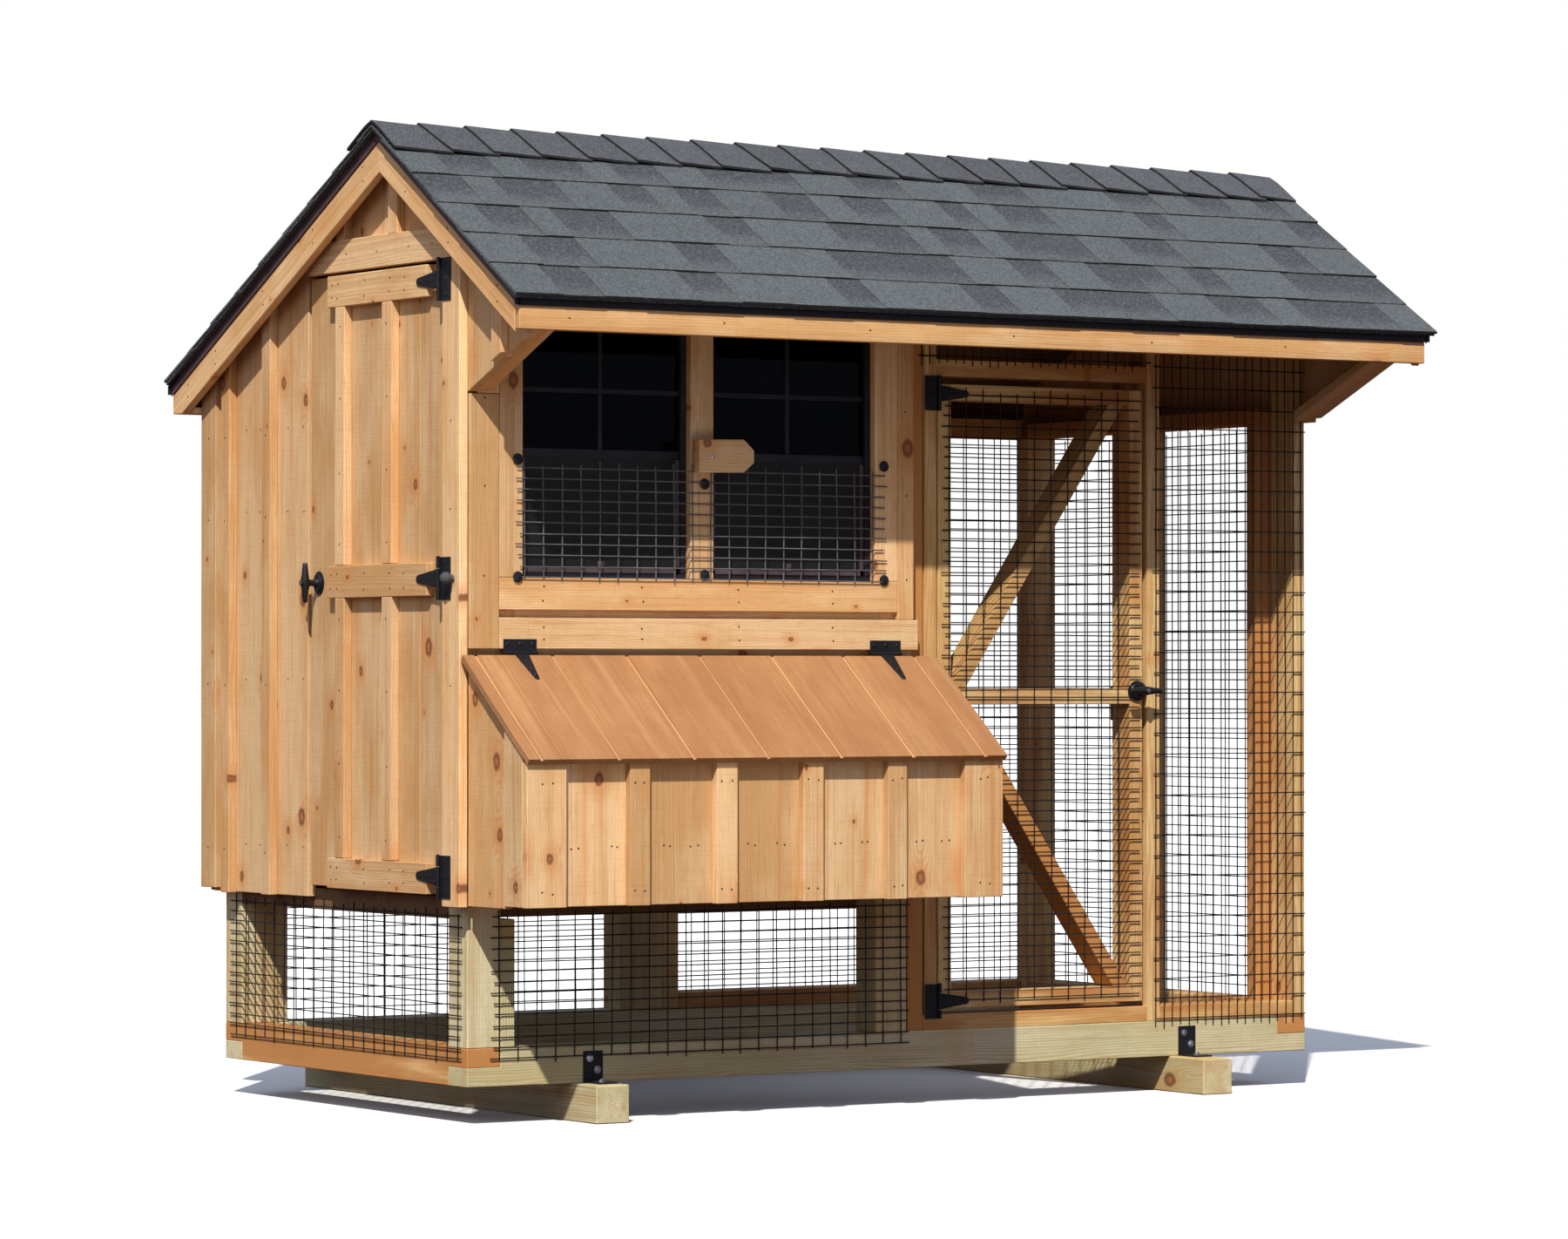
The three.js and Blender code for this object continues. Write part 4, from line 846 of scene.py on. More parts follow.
def front_trim():
    """The casing boards round the windows, then the boarding behind them."""
    piece = Piece("front_trim_boards")
    layer = (TRIM_FACE, FRONT_FACE)
    sill = (46.85, 49.78)
    rail = (43.3, 46.15)
    head = 72.92
    plank(piece, (-BOARD + 0.12, 2.33), layer, (rail[0], 66.45), Z)
    plank(piece, (0.06, 2.33), layer, (66.5, FRONT_POST_TOP), Z)
    for x in ((2.37, 4.8), (22.75, 25.25), (43.25, 45.83)):
        plank(piece, x, layer, (sill[1] + 0.02, FRONT_POST_TOP), Z)
    plank(piece, (2.37, 45.83), layer, sill, X)
    for x in ((4.8, 22.75), (25.25, 43.25)):
        plank(piece, x, layer, (head, FRONT_POST_TOP), X)
    plank(piece, (45.87, 47.7), layer, (rail[1] + 0.02, FRONT_POST_TOP), Z)
    plank(piece, (2.37, 48.2), layer, rail, X)
    plank(piece, (22.9, 25.1), (-2.75, TRIM_FACE), (59.8, 62.7), X)
    spots = [(x, TRIM_FACE, z) for x in (0.8, 46.8) for z in (50, 58, 66, 73)]
    spots += [(x, TRIM_FACE, z) for x in (7, 17.5, 28, 38.5) for z in (44.2, 45.3, 47.6, 48.9)]
    nails(piece, spots, -Y)
    piece.build("pine", [PINE, NAIL], "front_trim")
    wall = Piece("front_wall_siding")
    layer = (FRONT_FACE, 0)
    opening_bottom, opening_top = 49.4, 73.3
    plank(wall, (0, LENGTH / 2), layer, (SIDING_BOTTOM, 22.2), X)
    for x in ((0, 4.4), (44.3, 48)):
        plank(wall, x, layer, (22.2, FRONT_PLATE_TOP), Z)
    plank(wall, (4.4, 44.3), layer, (41.5, opening_bottom), X)
    plank(wall, (23.2, 24.85), layer, (opening_bottom, opening_top), Z)
    plank(wall, (4.4, 44.3), layer, (opening_top, FRONT_PLATE_TOP), X)
    wall.build("pine", [PINE], "front_wall")


front_trim()


def batten_wall(name, replaced, axis, layer, batten, edges, battens, outline_of, side, board_outline=None):
    """Upright boards with battens over their joints."""
    piece = Piece(name)
    for low, high in zip(edges, edges[1:]):
        prism(piece, axis, layer, (board_outline or outline_of)((low + 0.02, high - 0.02), 0.0), Z)
    spots = []
    for low, high in battens:
        outline = outline_of((low, high), 0.08)
        prism(piece, axis, batten, outline, Z)
        face = batten[0] if side < 0 else batten[1]
        top = min(z for _, z in outline[2:])
        bottom = outline[0][1]
        count = max(2, int((top - bottom) / 14) + 1)
        for k in range(count):
            z = bottom + 2 + (top - bottom - 4) * k / (count - 1)
            middle = (low + high) / 2
            spots.append((face, middle, z) if axis == 0 else (middle, face, z))
    nails(piece, spots, (side, 0, 0) if axis == 0 else (0, side, 0))
    piece.build("pine", [PINE, NAIL], replaced)


def straight(bottom, top):
    """Outlines of boards that end level."""
    def outline(span, lift):
        return [(span[0], bottom + lift), (span[1], bottom + lift), (span[1], top), (span[0], top)]
    return outline


batten_wall("back_wall_siding", "back_wall", 1, (DEPTH, DEPTH + BOARD), (DEPTH + BOARD, DEPTH + 2 * BOARD),
            [0, 7.9, 16.5, 25.1, 33.7, 42.3, 48],
            [(-0.75, 2.3), *((7 + 8.6 * k, 8.76 + 8.6 * k) for k in range(5)), (45.4, 48)],
            straight(SIDING_BOTTOM, SOFFIT - 0.1), 1, straight(SIDING_BOTTOM, roof_z(DEPTH + BOARD) - 0.15))
GABLE_BOTTOM = 66.2
batten_wall("right_gable_siding", "right_gable", 0,
            (LENGTH, LENGTH + BOARD), (LENGTH + BOARD, LENGTH + 2 * BOARD),
            [FRONT_FACE, 2.4, 11.1, 19.8, 28.5, 37.2, 45.9, DEPTH + BOARD],
            [(1.5 + 8.7 * k, 3.26 + 8.7 * k) for k in range(6)],
            lambda span, lift: under_roof(span, GABLE_BOTTOM + lift), 1)


def overhang_right():
    piece = Piece("right_overhang_siding")
    overhang_boards(piece, (LENGTH, LENGTH + BOARD), (OVERHANG_END, -8.2, FRONT_FACE))
    piece.build("pine", [PINE])


overhang_right()


def overhang_brace(name, x):
    piece = Piece(name + "_board")
    wall = TRIM_FACE - 0.02 if x[0] == 0 else FRONT_FACE - 0.02
    thick = 1.03
    outline = [(y, brace_under(y) + lift) for y, lift in ((wall, 0), (wall, thick), (OVERHANG_END, thick),
                                                          (OVERHANG_END, 0))]
    prism(piece, 0, x, outline, (0, -1, BRACE_SLOPE))
    piece.build("pine", [PINE], name)


overhang_brace("overhang_brace_left", (0, 1.4))
overhang_brace("overhang_brace_right", (93.9, LENGTH))


def partition():
    """Boards between henhouse and run, round the pop hole."""
    piece = Piece("partition_boards")
    layer = (DEPTH, DEPTH + BOARD)
    hole = ((28.8, 39.2), (21.6, 42.0))
    for y in ((3.55, 12), (12, 20.4), (20.4, 28.8), (39.2, 44.4)):
        prism(piece, 0, layer, under_roof((y[0] + 0.02, y[1] - 0.02), FLOOR_UNDER, 0.3), Z)
    plank(piece, layer, hole[0], (FLOOR_UNDER, hole[1][0]), Z)
    prism(piece, 0, layer, under_roof((28.82, 39.18), hole[1][1], 0.3), Z)
    piece.build("pine", [PINE], "partition_wall")


partition()

# ---------------- windows

def four_bars(piece, x, y, z, bar):
    """A rectangular frame; returns the left and right of its opening."""
    inner = (x[0] + bar, x[1] - bar)
    for bar_x, bar_z in (((x[0], inner[0]), z), ((inner[1], x[1]), z),
                         (inner, (z[0], z[0] + bar)), (inner, (z[1] - bar, z[1]))):
        plank(piece, bar_x, y, bar_z, Z, edge=0.05)
    return inner


def window(side, x):
    x = (x[0] - 0.35, x[1] + 0.35)
    z = (49.45, 73.25)
    bar = 0.85
    bottom, top = z[0] + bar, z[1] - bar
    rail = (60.9, 61.7)
    middle = (x[0] + x[1]) / 2
    frame_piece = Piece("window_frame_" + side)
    inner = four_bars(frame_piece, x, (-0.86, 0.9), z, bar)
    for step in (0.25, 0.5):
        for track_x in ((inner[0] - 0.02, inner[0] + step * 0.3), (inner[1] - step * 0.3, inner[1] + 0.02)):
            plank(frame_piece, track_x, (-0.55 + step, -0.45 + step), (bottom, top), Z, edge=0.02)
    plank(frame_piece, inner, (-0.5, 0), rail, X, edge=0.06)
    row = (rail[1] + top) / 2
    plank(frame_piece, (middle - 0.22, middle + 0.22), (-0.38, -0.31), (rail[1], top), Z, edge=0.02)
    plank(frame_piece, inner, (-0.39, -0.315), (row - 0.22, row + 0.22), X, edge=0.02)
    frame_piece.build("bronze_frame", [BRONZE], "window_" + side)
    pane = Piece("window_pane_" + side)
    plank(pane, inner, (-0.3, -0.2), (rail[1], top), Z, edge=0)
    pane.build("bronze_frame", [GLASS])
    screen = Piece("window_screen_" + side)
    plank(screen, (inner[0] + 0.4, inner[1] - 0.4), (-0.44, -0.42), (bottom + 0.4, rail[0]), Z, edge=0)
    screen.build("bronze_frame", [SCREEN])
    rim = Piece("screen_rim_" + side)
    for bar_x, bar_z in (((inner[0], inner[0] + 0.4), (bottom, rail[0])),
                         ((inner[1] - 0.4, inner[1]), (bottom, rail[0])), (inner, (bottom, bottom + 0.6))):
        plank(rim, bar_x, (-0.55, -0.33), bar_z, Z, edge=0.04)
    plank(rim, (middle - 0.35, middle + 0.35), (-0.62, -0.5), (bottom + 0.3, bottom + 1.1), Z, edge=0.05)
    rim.build("bronze_frame", [SASH])

    sash = Piece("sash_frame_" + side)
    z = (60.7, 72.3)
    bar = 0.75
    bottom, top = z[0] + bar, z[1] - bar
    inner = four_bars(sash, (inner[0] + 0.06, inner[1] - 0.06), (0.13, 0.61), z, bar)
    row = (z[0] + z[1]) / 2
    plank(sash, (middle - 0.22, middle + 0.22), (0.27, 0.45), (bottom, top), Z, edge=0.03)
    plank(sash, inner, (0.27, 0.45), (row - 0.22, row + 0.22), X, edge=0.03)
    plank(sash, (middle - 0.4, middle + 0.4), (0.55, 0.84), (z[0] + 0.2, z[0] + 0.6), X, edge=0.05)
    sash.build("bronze_frame", [BRONZE], "sash_" + side, body=side + "_sash")
    pane = Piece("sash_pane_" + side)
    plank(pane, inner, (0.32, 0.4), (bottom, top), Z, edge=0)
    pane.build("bronze_frame", [GLASS], body=side + "_sash")


window("left", (4.8, 22.75))
window("right", (25.25, 43.25))

# ---------------- wire

# Where the front nets lie, and how far the back and end nets stand outside the frame.
WIRE_FACE = -0.06
OUTSIDE = 0.14


def wire_piece(where, *panel, replaced="", body="coop"):
    piece = Piece("welded_wire_" + where)
    welded_wire(piece, *panel)
    piece.build("wire", [WIRE], replaced or "wire_" + where, body=body)


wire_piece("lower_front", 1, WIRE_FACE, (2.3, 48.3), (5.5, 19.7), 2, 1)
wire_piece("lower_left", 0, WIRE_FACE, (0.6, 47.0), (5.5, 19.7), 2, 1)
wire_piece("lower_back", 1, DEPTH + OUTSIDE, (0.8, 47.8), (5.5, 19.7), 2, 1)
wire_piece("run_back", 1, DEPTH + OUTSIDE, (48.7, 96), (6.0, 66.5), 2, 1)
wire_piece("run_end", 0, LENGTH + OUTSIDE, (0.3, 48), (6.0, 66.1), 2, 1)
wire_piece("run_front", 1, WIRE_FACE, (77, 96), (6.2, 78.6), 1, 2)
wire_piece("over_door", 1, WIRE_FACE, (49.2, 77), (70.5, 78.6), 1, 2)
wire_piece("door", 1, WIRE_FACE, (51.9, 75.8), (9.3, 68.6), 2, 1, replaced="wire_run_door", body="run_door")

WASHERS = [(4.2, 60.55), (24.2, 58.65), (44.2, 60.7), (4.2, 49.85), (24.2, 50.2), (44.2, 49.9)]


def window_guard():
    """Wire over the lower halves of the windows; it bellies out between its washers."""
    piece = Piece("window_guard_wire")

    def belly(x, z):
        span = math.sin(math.pi * max(0.0, min(1.0, (x - 4.2) / 20.0 % 1.0))) ** 2
        return -0.10 * span * math.sin(math.pi * (z - 49) / 11.5)

    welded_wire(piece, 1, TRIM_FACE - 0.08, (3.9, 44.6), (49.3, 60.5), 2, 1, belly)
    for x, z in WASHERS:
        lathe(piece, (x, TRIM_FACE - 0.12, z), -Y,
              [(0.3, 0.0), (0.52, 0.02), (0.50, 0.07), (0.36, 0.13), (0.2, 0.15)], 24, 1)
        screw(piece, (x, TRIM_FACE - 0.25, z), -Y, 0.17, 0.06, 1)
    piece.build("wire", [GUARD, STEEL], "window_guard")


window_guard()

# ---------------- nest box

NEST_FRONT = -12.53
NEST_BOTTOM = 20.25
LID_Y = -2.1
LID_Z = 42.75
LID_SLOPE = 0.775
LID_ANGLE = math.atan(LID_SLOPE)
LID_THICK = 0.6


def lid_under(y):
    return LID_Z - LID_THICK / math.cos(LID_ANGLE) - (LID_Y - y) * LID_SLOPE


def nest_box():
    piece = Piece("nest_box_boards")
    right = 49.2
    front = (NEST_FRONT, NEST_FRONT + BOARD)
    inside = (NEST_FRONT + BOARD, FRONT_FACE - 0.08)
    top = lid_under(NEST_FRONT) - 0.08
    edges = [-BOARD, 10.2, 19.5, 28.8, 38.05, right]
    for low, high in zip(edges, edges[1:]):
        plank(piece, (low + 0.02, high - 0.02), front, (NEST_BOTTOM, top), Z)
    batten = (NEST_FRONT - BOARD, NEST_FRONT)
    spots = []
    for x in ((-1.5, 2.6), (9.2, 11.3), (18.35, 20.6), (27.7, 29.9), (37, 39.1), (45.6, 49.9)):
        drop = dice.uniform(0, 0.12)
        plank(piece, x, batten, (NEST_BOTTOM - drop * 0.3, lid_under(batten[0]) - 0.1), Z)
        middle = (x[0] + x[1]) / 2
        spots += [(middle + side, batten[0], z) for side in (-0.5, 0.5) for z in (21.5, 31.3)]
    spots += [(x + side, NEST_FRONT, 25.5) for x in (4, 8, 13.5, 16.5, 22.5, 25.8, 32, 35, 41, 44)
              for side in (-0.35, 0.35)]

    def end_board(x, y0, y1, bottom):
        prism(piece, 0, x, [(y0, bottom), (y1, bottom), (y1, lid_under(y1) - 0.08),
                            (y0, lid_under(y0) - 0.08)], Z)

    for x in ((-BOARD, 0), (right - BOARD, right)):
        back = TRIM_FACE + 0.08 if x[0] < 0 else FRONT_FACE - 0.08
        for y0, y1, drop in ((inside[0], -8.3, 0.0), (-8.3, back, 0.25)):
            end_board(x, y0 + 0.02, y1 - 0.02, NEST_BOTTOM - drop)
    for x in ((-1.5, -BOARD), (right, 49.9)):
        end_board(x, NEST_FRONT, NEST_FRONT - BOARD + 4.1, NEST_BOTTOM)
    plank(piece, (0, right - BOARD), inside, (NEST_BOTTOM, NEST_BOTTOM + BOARD), X)
    for k in (1, 2, 3):
        x = k * (right - BOARD) / 4
        plank(piece, (x - 0.4, x + 0.4), (inside[0], FRONT_FACE - 0.1), (NEST_BOTTOM + BOARD, 32), Y)
    nails(piece, spots, -Y)
    piece.build("pine", [PINE, NAIL], "nest_box")


nest_box()

LID_DOWN = Vector((0, -math.cos(LID_ANGLE), -math.sin(LID_ANGLE)))
LID_OUT = Vector((0, -math.sin(LID_ANGLE), math.cos(LID_ANGLE)))


def nest_lid():
    piece = Piece("nest_lid_panel")
    width = 0.4
    depth = 0.22
    outline = [(-1.7, 0), (-1.7, -LID_THICK), (49.95, -LID_THICK), (49.95, 0)]
    grooves = (-0.32, 7.7, 15.6, 23.5, 31.45, 39.4, 47.5)
    for x in grooves[::-1]:
        outline += [(x + width / 2, 0), (x + width / 2 - 0.08, -depth),
                    (x - width / 2 + 0.08, -depth), (x - width / 2, 0)]
    place = frame_of(X, LID_OUT, LID_DOWN, (0, LID_Y, LID_Z))
    length = 12 / math.cos(LID_ANGLE)
    slab(piece, place, outline, length, LID_DOWN, edge=0.03, tone=0.5)
    for x in grooves:
        half = width / 2 - 0.05
        floor = [(x - half, -depth - 0.02), (x + half, -depth - 0.02), (x + half, -depth + 0.05),
                 (x - half, -depth + 0.05)]
        slab(piece, place, floor, length, LID_DOWN, edge=0, slot=1)
    piece.build("grooved_panel", [PANEL, GROOVE], "nest_lid", body="nest_lid")


nest_lid()

# ---------------- tee hinges

def strap_outline(length, root, tip):
    """A tapering strap with a round tip."""
    angles = [math.pi * (k / 6 - 0.5) for k in range(7)]
    nose = [(length + tip / 2 * (math.cos(angle) - 1), tip / 2 * math.sin(angle)) for angle in angles]
    return [(0, -root / 2), *nose, (0, root / 2)]


def knuckle(piece, place, low, high):
    """A rolled barrel round the pin, in the hinge's own frame."""
    radius = 0.19
    start = place @ Vector((0, low, 0))
    axis = (place @ Vector((0, high, 0))) - start
    profile = [(radius * 0.8, 0), (radius, 0.03), (radius, axis.length - 0.03), (radius * 0.8, axis.length)]
    lathe(piece, start, axis, profile, 14)


def plate_screws(piece, plate, spots, radius=0.17, height=0.09):
    """Screw heads on a hinge plate, at places in its own frame."""
    for x, y in spots:
        screw(piece, plate @ Vector((x, y, 0.09)), plate.to_3x3() @ Z, radius, height)


def tee_hinge(name, body, replaced, place, strap, leaf):
    """The hinge's frame: origin on the pin, x along the strap, y along the pin, z out of the door.
    The strap is its length and the widths of its root and tip; the leaf is its width and height."""
    length, root, _ = strap
    width, height = leaf
    half = height / 2
    moving = Piece(name + "_strap")
    plate = place @ Matrix.Translation((0, 0, -0.22))
    slab(moving, plate, strap_outline(*strap), 0.1, Z, edge=0.025)
    knuckle(moving, place, -root / 2 + 0.02, root / 2 - 0.02)
    plate_screws(moving, plate, [(length * share, offset * root)
                                 for share, offset in ((0.2, 0.28), (0.2, -0.28), (0.5, 0.0), (0.82, 0.0))])
    moving.build("black_steel", [STEEL], replaced, body=body)
    fixed = Piece(name + "_leaf")
    outline = [(-width, -half), (-0.1, -half), (-0.1, half), (-width, half)]
    slab(fixed, plate, outline, 0.1, Z, edge=0.025)
    for low, high in ((-half, -root / 2 - 0.02), (root / 2 + 0.02, half)):
        knuckle(fixed, place, low, high)
    plate_screws(fixed, plate, [(-width * 0.55, offset * height) for offset in (-0.36, 0.0, 0.36)])
    screw(fixed, place @ Vector((0, half, 0)), place.to_3x3() @ Y, 0.16, 0.1)
    fixed.build("black_steel", [STEEL])


for where, level in {"top": 76.9, "middle": 49.7, "bottom": 22.6}.items():
    hinge_place = frame_of(Y, Z, -X, (-1.97, 1.95, level))
    tee_hinge("end_door_hinge_" + where, "end_door", "end_door_strap_" + where, hinge_place,
              (4.4, 1.85, 0.75), (2.0, 3.9))
for where, level in {"top": 67.9, "bottom": 9.75}.items():
    hinge_place = frame_of(X, Z, -Y, (51.62, -0.36, level))
    tee_hinge("run_door_hinge_" + where, "run_door", "run_door_strap_" + where, hinge_place,
              (3.5, 1.6, 0.65), (1.6, 3.3))


def lid_hinge(side, x):
    """The strap lies down the lid and the leaf stands on the rail above it."""
    name = "nest_lid_hinge_" + side
    length, root, tip = 3.9, 1.5, 0.5
    half = 1.74
    place = frame_of(LID_DOWN, X, LID_OUT, (x, -1.97, 42.95))
    plate = place @ Matrix.Translation((0, 0, -0.06))
    moving = Piece(name + "_strap")
    slab(moving, plate, strap_outline(length, root, tip), 0.1, Z, edge=0.025)
    knuckle(moving, place, -0.78, 0.78)
    plate_screws(moving, plate, [(length * share, 0) for share in (0.3, 0.6, 0.85)], 0.16, 0.08)
    moving.build("black_steel", [STEEL], "lid_strap_" + side, body="nest_lid")
    fixed = Piece(name + "_leaf")
    plank(fixed, (x - half, x + half), (TRIM_FACE - 0.1, TRIM_FACE), (42.85, 44.2), X, edge=0.03)
    for low, high in ((-half, -0.8), (0.8, half)):
        knuckle(fixed, place, low, high)
    for offset in (-1.3, 0.0, 1.3):
        screw(fixed, (x + offset, TRIM_FACE - 0.09, 43.75), -Y, 0.17, 0.09)
    fixed.build("black_steel", [STEEL])


lid_hinge("left", 4.47)
lid_hinge("right", 44.4)

# ---------------- end door

DOOR_Z = (20.9, 78.5)


def end_door():
    piece = Piece("end_door_boards")
    face = (TRIM_FACE, FRONT_FACE)
    edges = (2.1, 7.25, 12.1, 21.4, 28.6)
    for low, high in zip(edges, edges[1:]):
        z = (DOOR_Z[0] + dice.uniform(0, 0.15), DOOR_Z[1])
        plank(piece, (FRONT_FACE, 0), (low + 0.02, high - 0.02), z, Z)
    ledges = ((20.9, 23.75), (48.15, 51.2), (75.5, 78.45))
    spots = []
    for low, high in ledges:
        plank(piece, face, (4.55, 23.8), (low, high), Y)
        spots += [(TRIM_FACE, y, z) for y in (8.8, 11.6, 16.5, 21.8, 23) for z in (low + 0.8, high - 0.8)]
    for y in ((11.25, 13.1), (20.45, 22.25)):
        middle = (y[0] + y[1]) / 2
        for (_, low), (high, _) in zip(ledges, ledges[1:]):
            plank(piece, face, y, (low + 0.02, high - 0.02), Z)
            spots += [(TRIM_FACE, middle, low + (high - low) * share) for share in (0.08, 0.36, 0.64, 0.92)]
    nails(piece, spots, -X)
    piece.build("pine", [PINE, NAIL], "end_door", body="end_door")


end_door()


def tee_handle(name, body, door_body, replaced, centre, out, bar, tongue):
    """A T-handle on its spindle, with an oval rose that stays on the door."""
    centre = Vector(centre)
    rose = Piece(name + "_rose")
    across = bar.cross(out)
    place = frame_of(bar, across, out, centre)
    angles = [math.tau * k / 28 for k in range(28)]
    oval = [(1.12 * math.cos(angle), 0.97 * math.sin(angle)) for angle in angles]
    slab(rose, place, oval, 0.14, Z, edge=0.04)
    inner_oval = [(x * 0.8, y * 0.8) for x, y in oval]
    slab(rose, place @ Matrix.Translation((0, 0, 0.13)), inner_oval, 0.2, Z, edge=0.09)
    rose.build("black_steel", [STEEL], body=door_body)
    grip = Piece(name + "_grip")
    neck = [(0.46, 0.30), (0.42, 0.42), (0.33, 0.6), (0.31, 1.0), (0.36, 1.25), (0.42, 1.45)]
    lathe(grip, centre, out, neck, 20)
    half = 1.9
    middle = centre + out * 1.55
    swell = [(0.08, 0), (0.17, 0.03), (0.235, 0.15), (0.27, 0.45), (0.33, 1.1), (0.41, 1.6)]
    taper = [(radius, 2 * half - height) for radius, height in swell[::-1]]
    lathe(grip, middle - bar * half, bar, [*swell, (0.44, half), *taper], 18)
    lathe(grip, middle, out, [(0.3, 0.2), (0.3, 0.46), (0.26, 0.5), (0.22, 0.5), (0.2, 0.46)], 18)
    lathe(grip, middle, out, [(0.2, 0.3), (0.2, 0.48), (0.17, 0.49)], 16, 1)
    lathe(grip, centre, out, [(0.2, tongue - 0.15), (0.2, 0.4)], 12)
    level = across if abs(across.z) < 0.5 else bar
    upright = frame_of(level, Z, out, centre + out * tongue)
    slab(grip, upright, [(-0.35, -2.9), (0.35, -2.9), (0.35, 0.4), (-0.35, 0.4)], 0.22, Z, edge=0.05)
    grip.build("black_steel", [STEEL, SCREW], replaced, body=body)


tee_handle("end_door_latch", "end_door_latch", "end_door", "end_door_handle", (FRONT_FACE, 26.9, 49.65),
           -X, Z, -1.2)


def bumper():
    """A rubber stop on a stem that the end door's hinge edge meets."""
    piece = Piece("rubber_bumper")
    lathe(piece, (TRIM_FACE - 0.1, -0.45, 49.7), -X,
          [(0.34, 0), (0.3, 0.12), (0.25, 0.2), (0.42, 0.32), (0.53, 0.5), (0.56, 0.7), (0.52, 0.9),
           (0.40, 1.08), (0.2, 1.18), (0.06, 1.2)], 24)
    piece.build("black_steel", [RUBBER])


bumper()

# ---------------- run door

RUN_DOOR_X = (51.7, 75.9)
RUN_DOOR_Z = (9.0, 68.85)


def run_door():
    piece = Piece("run_door_timbers")
    depth = (0.02, 3.0)
    inside = (RUN_DOOR_X[0] + STUD, RUN_DOOR_X[1] - STUD)
    plank(piece, (RUN_DOOR_X[0], inside[0]), depth, RUN_DOOR_Z, Z, tone=0.3)
    plank(piece, (inside[1], RUN_DOOR_X[1]), depth, RUN_DOOR_Z, Z, tone=0.45)
    for z in ((9.0, 10.5), (38.1, 39.6), (67.35, 68.85)):
        plank(piece, inside, depth, z, X, tone=0.43)
    for foot, head, low, high, tone in (((52.6, 37.6), (74.2, 69.5), 39.6, 67.35, 0.13),
                                        ((74.5, 8.7), (52.8, 40.3), 10.5, 38.1, 0.92)):
        slope = (head[1] - foot[1]) / (head[0] - foot[0])
        half = STUD / 2 * math.hypot(1, slope)
        shape = clip_brace(foot, slope, half, inside, (low, high))
        prism(piece, 1, (0.1, 3.0), shape, (1, 0, slope), tone=tone)
    piece.build("treated_pine", [STAINED], "run_door", body="run_door")


def clip_brace(foot, slope, half, x_range, z_range):
    """The sloping band of a brace, clipped to the bay it stands in."""
    band = [(x, foot[1] + (x - foot[0]) * slope + offset)
            for x, offset in ((0, -half), (120, -half), (120, half), (0, half))]
    for axis, limit, keep_above in ((0, x_range[0], True), (0, x_range[1], False),
                                    (1, z_range[0], True), (1, z_range[1], False)):
        kept = []
        for k, point in enumerate(band):
            last = band[k - 1]
            inside = (point[axis] >= limit) == keep_above
            was_inside = (last[axis] >= limit) == keep_above
            if inside != was_inside:
                share = (limit - last[axis]) / (point[axis] - last[axis])
                kept.append((last[0] + (point[0] - last[0]) * share, last[1] + (point[1] - last[1]) * share))
            if inside:
                kept.append(point)
        band = kept
    return band


run_door()
tee_handle("run_door_latch", "run_door_latch", "run_door", "run_door_handle", (75.15, -0.1, 39.4),
           -Y, X, -3.95)

# ---------------- turn button and ramp

def turn_button():
    piece = Piece("turn_button_block")
    outline = [(22.5, 59.65), (27.4, 59.75), (28.5, 60.65), (28.5, 61.8), (27.4, 62.8), (22.5, 62.7)]
    prism(piece, 1, (-3.70, -2.83), outline, X, tone=0.35)
    screw(piece, (24.0, -3.7, 61.15), -Y, 0.19, 0.07, 1)
    piece.build("pine", [PINE, SCREW], "turn_button", body="turn_button")


turn_button()


def ramp_door():
    piece = Piece("ramp_boards")
    for low, high in ((28, 32), (32, 36), (36, 40)):
        plank(piece, (48.92, 49.72), (low + 0.02, high - 0.02), (19.2, 44.4), Z)
    plank(piece, (49.62, 49.95), (29, 39), (19.0, 20.6), Y, edge=0.03, slot=1)
    lathe(piece, (49.87, 29.0, 19.0), Y, [(0.2, 0), (0.2, 10)], 14, 1)
    for k in range(5):
        z = 23.1 + 4 * k
        plank(piece, (48.32, 48.92), (29.3, 38.7), (z, z + 1), Y)
    piece.build("inner_wood", [CLEAT, STEEL], "ramp_door", body="ramp_door")


ramp_door()

# These stay as their CAD solids, in one inner wood whose dark colour is painted shade.
for node_name in ("floor", "roof_deck", "roost_bar"):
    made_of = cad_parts[node_name].data.materials
    made_of.clear()
    made_of.append(INNER_SHADED)

# ---------------- floor, light and camera

SKY_COLOUR = (0.86, 0.98, 1.28, 1.0)
KEY_LIGHT = 4.9
KEY_TRAVEL = (0.81, 1.0, -1.36)
SKY_LIGHT = 0.46
GROUND_LIGHT = 0.02
GROUND_BOUNCE = (0.075, 0.034, 0.018)
FRONT_FILL = 1.3
FILL_LIGHT = 40.0


def light(name, kind, energy, travel):
    made = placed(name, bpy.data.lights.new(name, kind))
    made.data.energy = energy
    made.rotation_euler = travel.to_track_quat("-Z", "Y").to_euler()
    return made


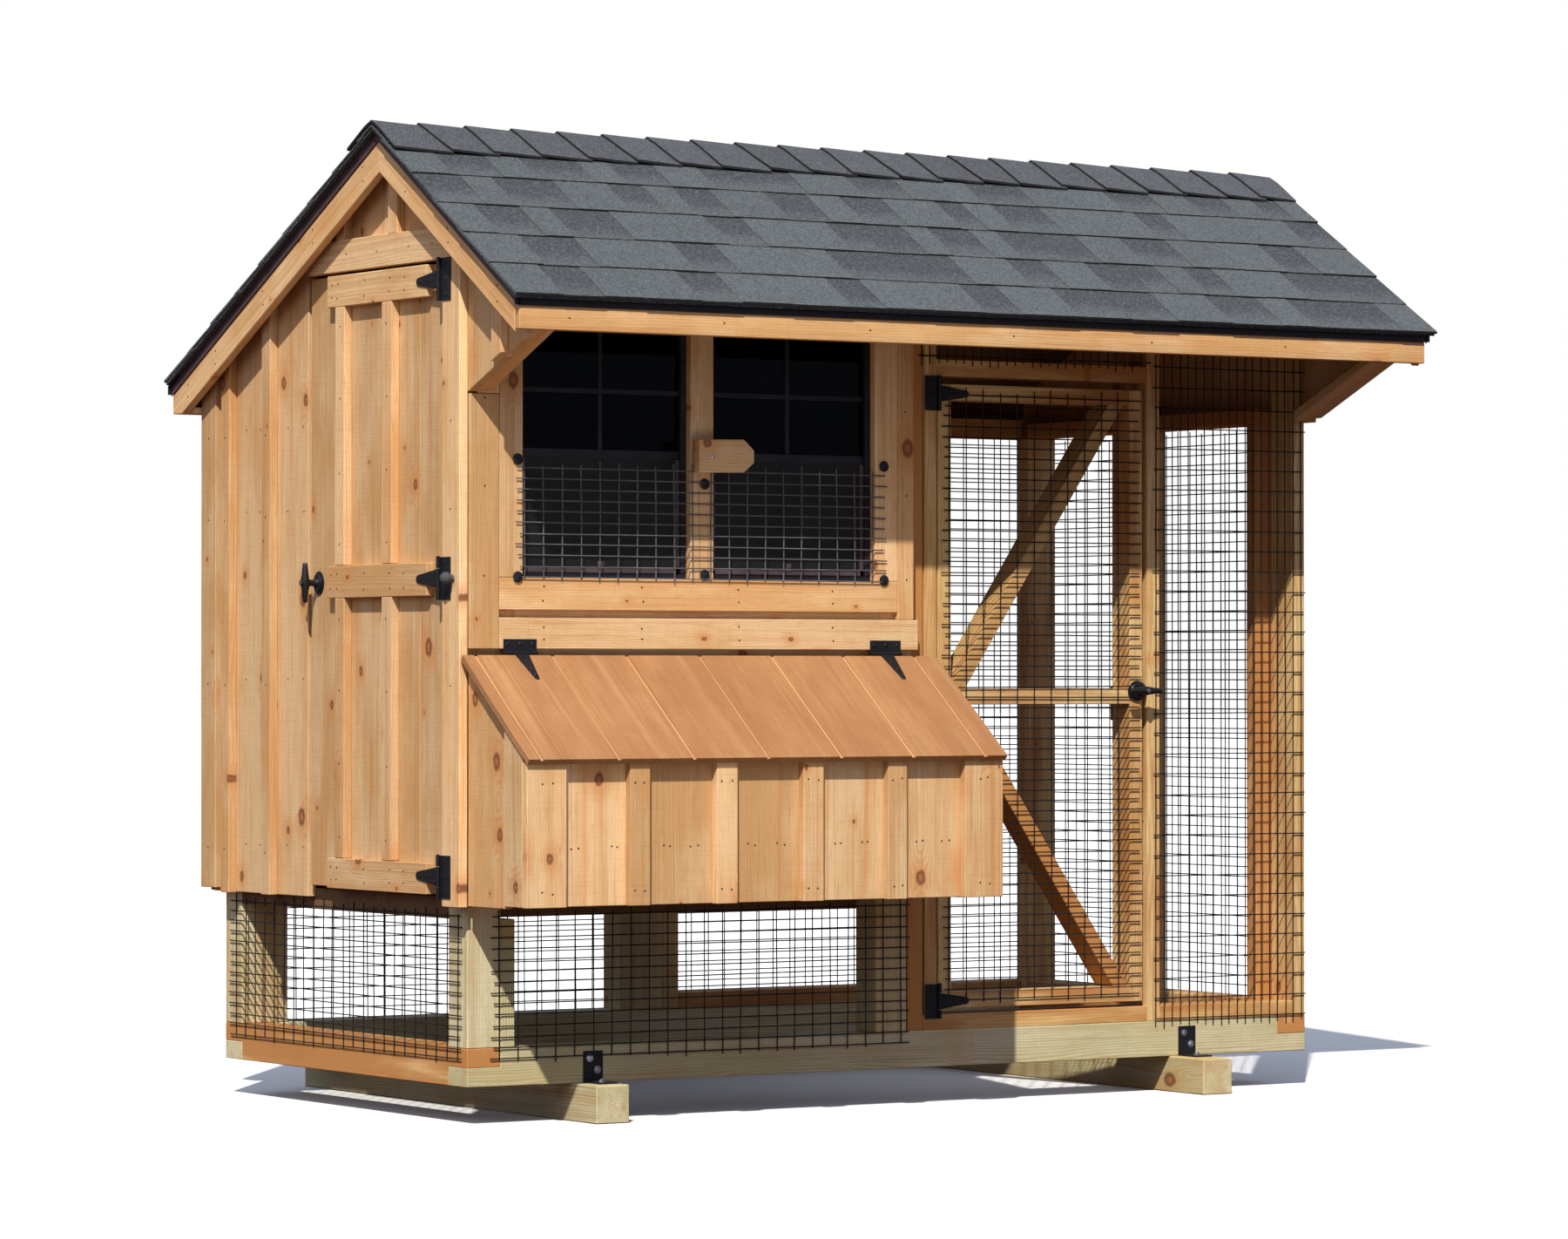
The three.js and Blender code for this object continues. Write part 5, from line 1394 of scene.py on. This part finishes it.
def studio():
    """A plain pale floor under a soft sky that is brighter above, a key light and two soft fills."""
    reach = 120.0
    mesh = bpy.data.meshes.new("studio_floor")
    mesh.from_pydata([(x * reach, y * reach, 0) for x, y in ((-1, -1), (1, -1), (1, 1), (-1, 1))], [],
                     [(0, 1, 2, 3)])
    s = Shader("studio_floor", 0.9)
    pale = s.mix(s.noise(s.place(), 2.0), (0.87, 0.86, 0.835), (0.90, 0.89, 0.865))
    s.set("Base Color", s.mix(s.node("LightPath", {}).outputs["Is Camera Ray"], GROUND_BOUNCE, pale))
    mesh.materials.append(s.material)
    placed("studio_floor", mesh)

    world = bpy.data.worlds.new("studio_world")
    bpy.context.scene.world = world
    world.use_nodes = True
    w = Nodes(world.node_tree)
    up = w.node("SeparateXYZ", {0: w.node("TexCoord", {}).outputs["Generated"]}).outputs["Z"]
    strength = w.node("MapRange", {"Value": up, "From Min": -0.12, "From Max": 0.30,
                                   "To Min": GROUND_LIGHT, "To Max": SKY_LIGHT}).outputs[0]
    sky = w.node("Background", {"Color": SKY_COLOUR, "Strength": strength}).outputs[0]
    plain = w.node("Background", {"Color": (1.0, 1.0, 1.0, 1.0)}).outputs[0]
    seen = w.node("LightPath", {}).outputs["Is Camera Ray"]
    blend = w.node("MixShader", {0: seen, 1: sky, 2: plain}).outputs[0]
    w.tree.links.new(blend, w.tree.nodes["World Output"].inputs["Surface"])

    key = light("key_light", "SUN", KEY_LIGHT, Vector(KEY_TRAVEL))
    key.data.angle = math.radians(1.0)
    key.data.color = (1.0, 0.965, 0.91)
    fill_place = Vector((-7.5, -2.0, 3.4))
    fill = light("fill_light", "AREA", FILL_LIGHT, Vector((0.0, 0.2, 1.0)) - fill_place)
    fill.location = fill_place
    fill.data.shape = "RECTANGLE"
    fill.data.size = 5.0
    fill.data.size_y = 4.0
    # A small panel low in front of the henhouse lifts the shade under the eave.
    low_place = at(-2, -95, 22)
    low = light("front_fill", "AREA", FRONT_FILL, at(22, 0, 60) - low_place)
    low.location = low_place
    low.data.size = 1.0
    low.data.spread = math.radians(55)
    low.visible_camera = False


def camera():
    made = placed("camera", bpy.data.cameras.new("camera"))
    made.data.lens = 128.69
    made.data.sensor_width = 36.0
    made.data.shift_x = -0.0017
    made.data.shift_y = -0.01085
    made.data.clip_end = 400.0
    made.location = at(-250.525, -443.773, 40.707)
    made.rotation_euler = (math.radians(90 + 0.766), 0.0, math.radians(-32.706))
    bpy.context.scene.camera = made


studio()
camera()
bpy.context.scene.view_settings.view_transform = "Standard"
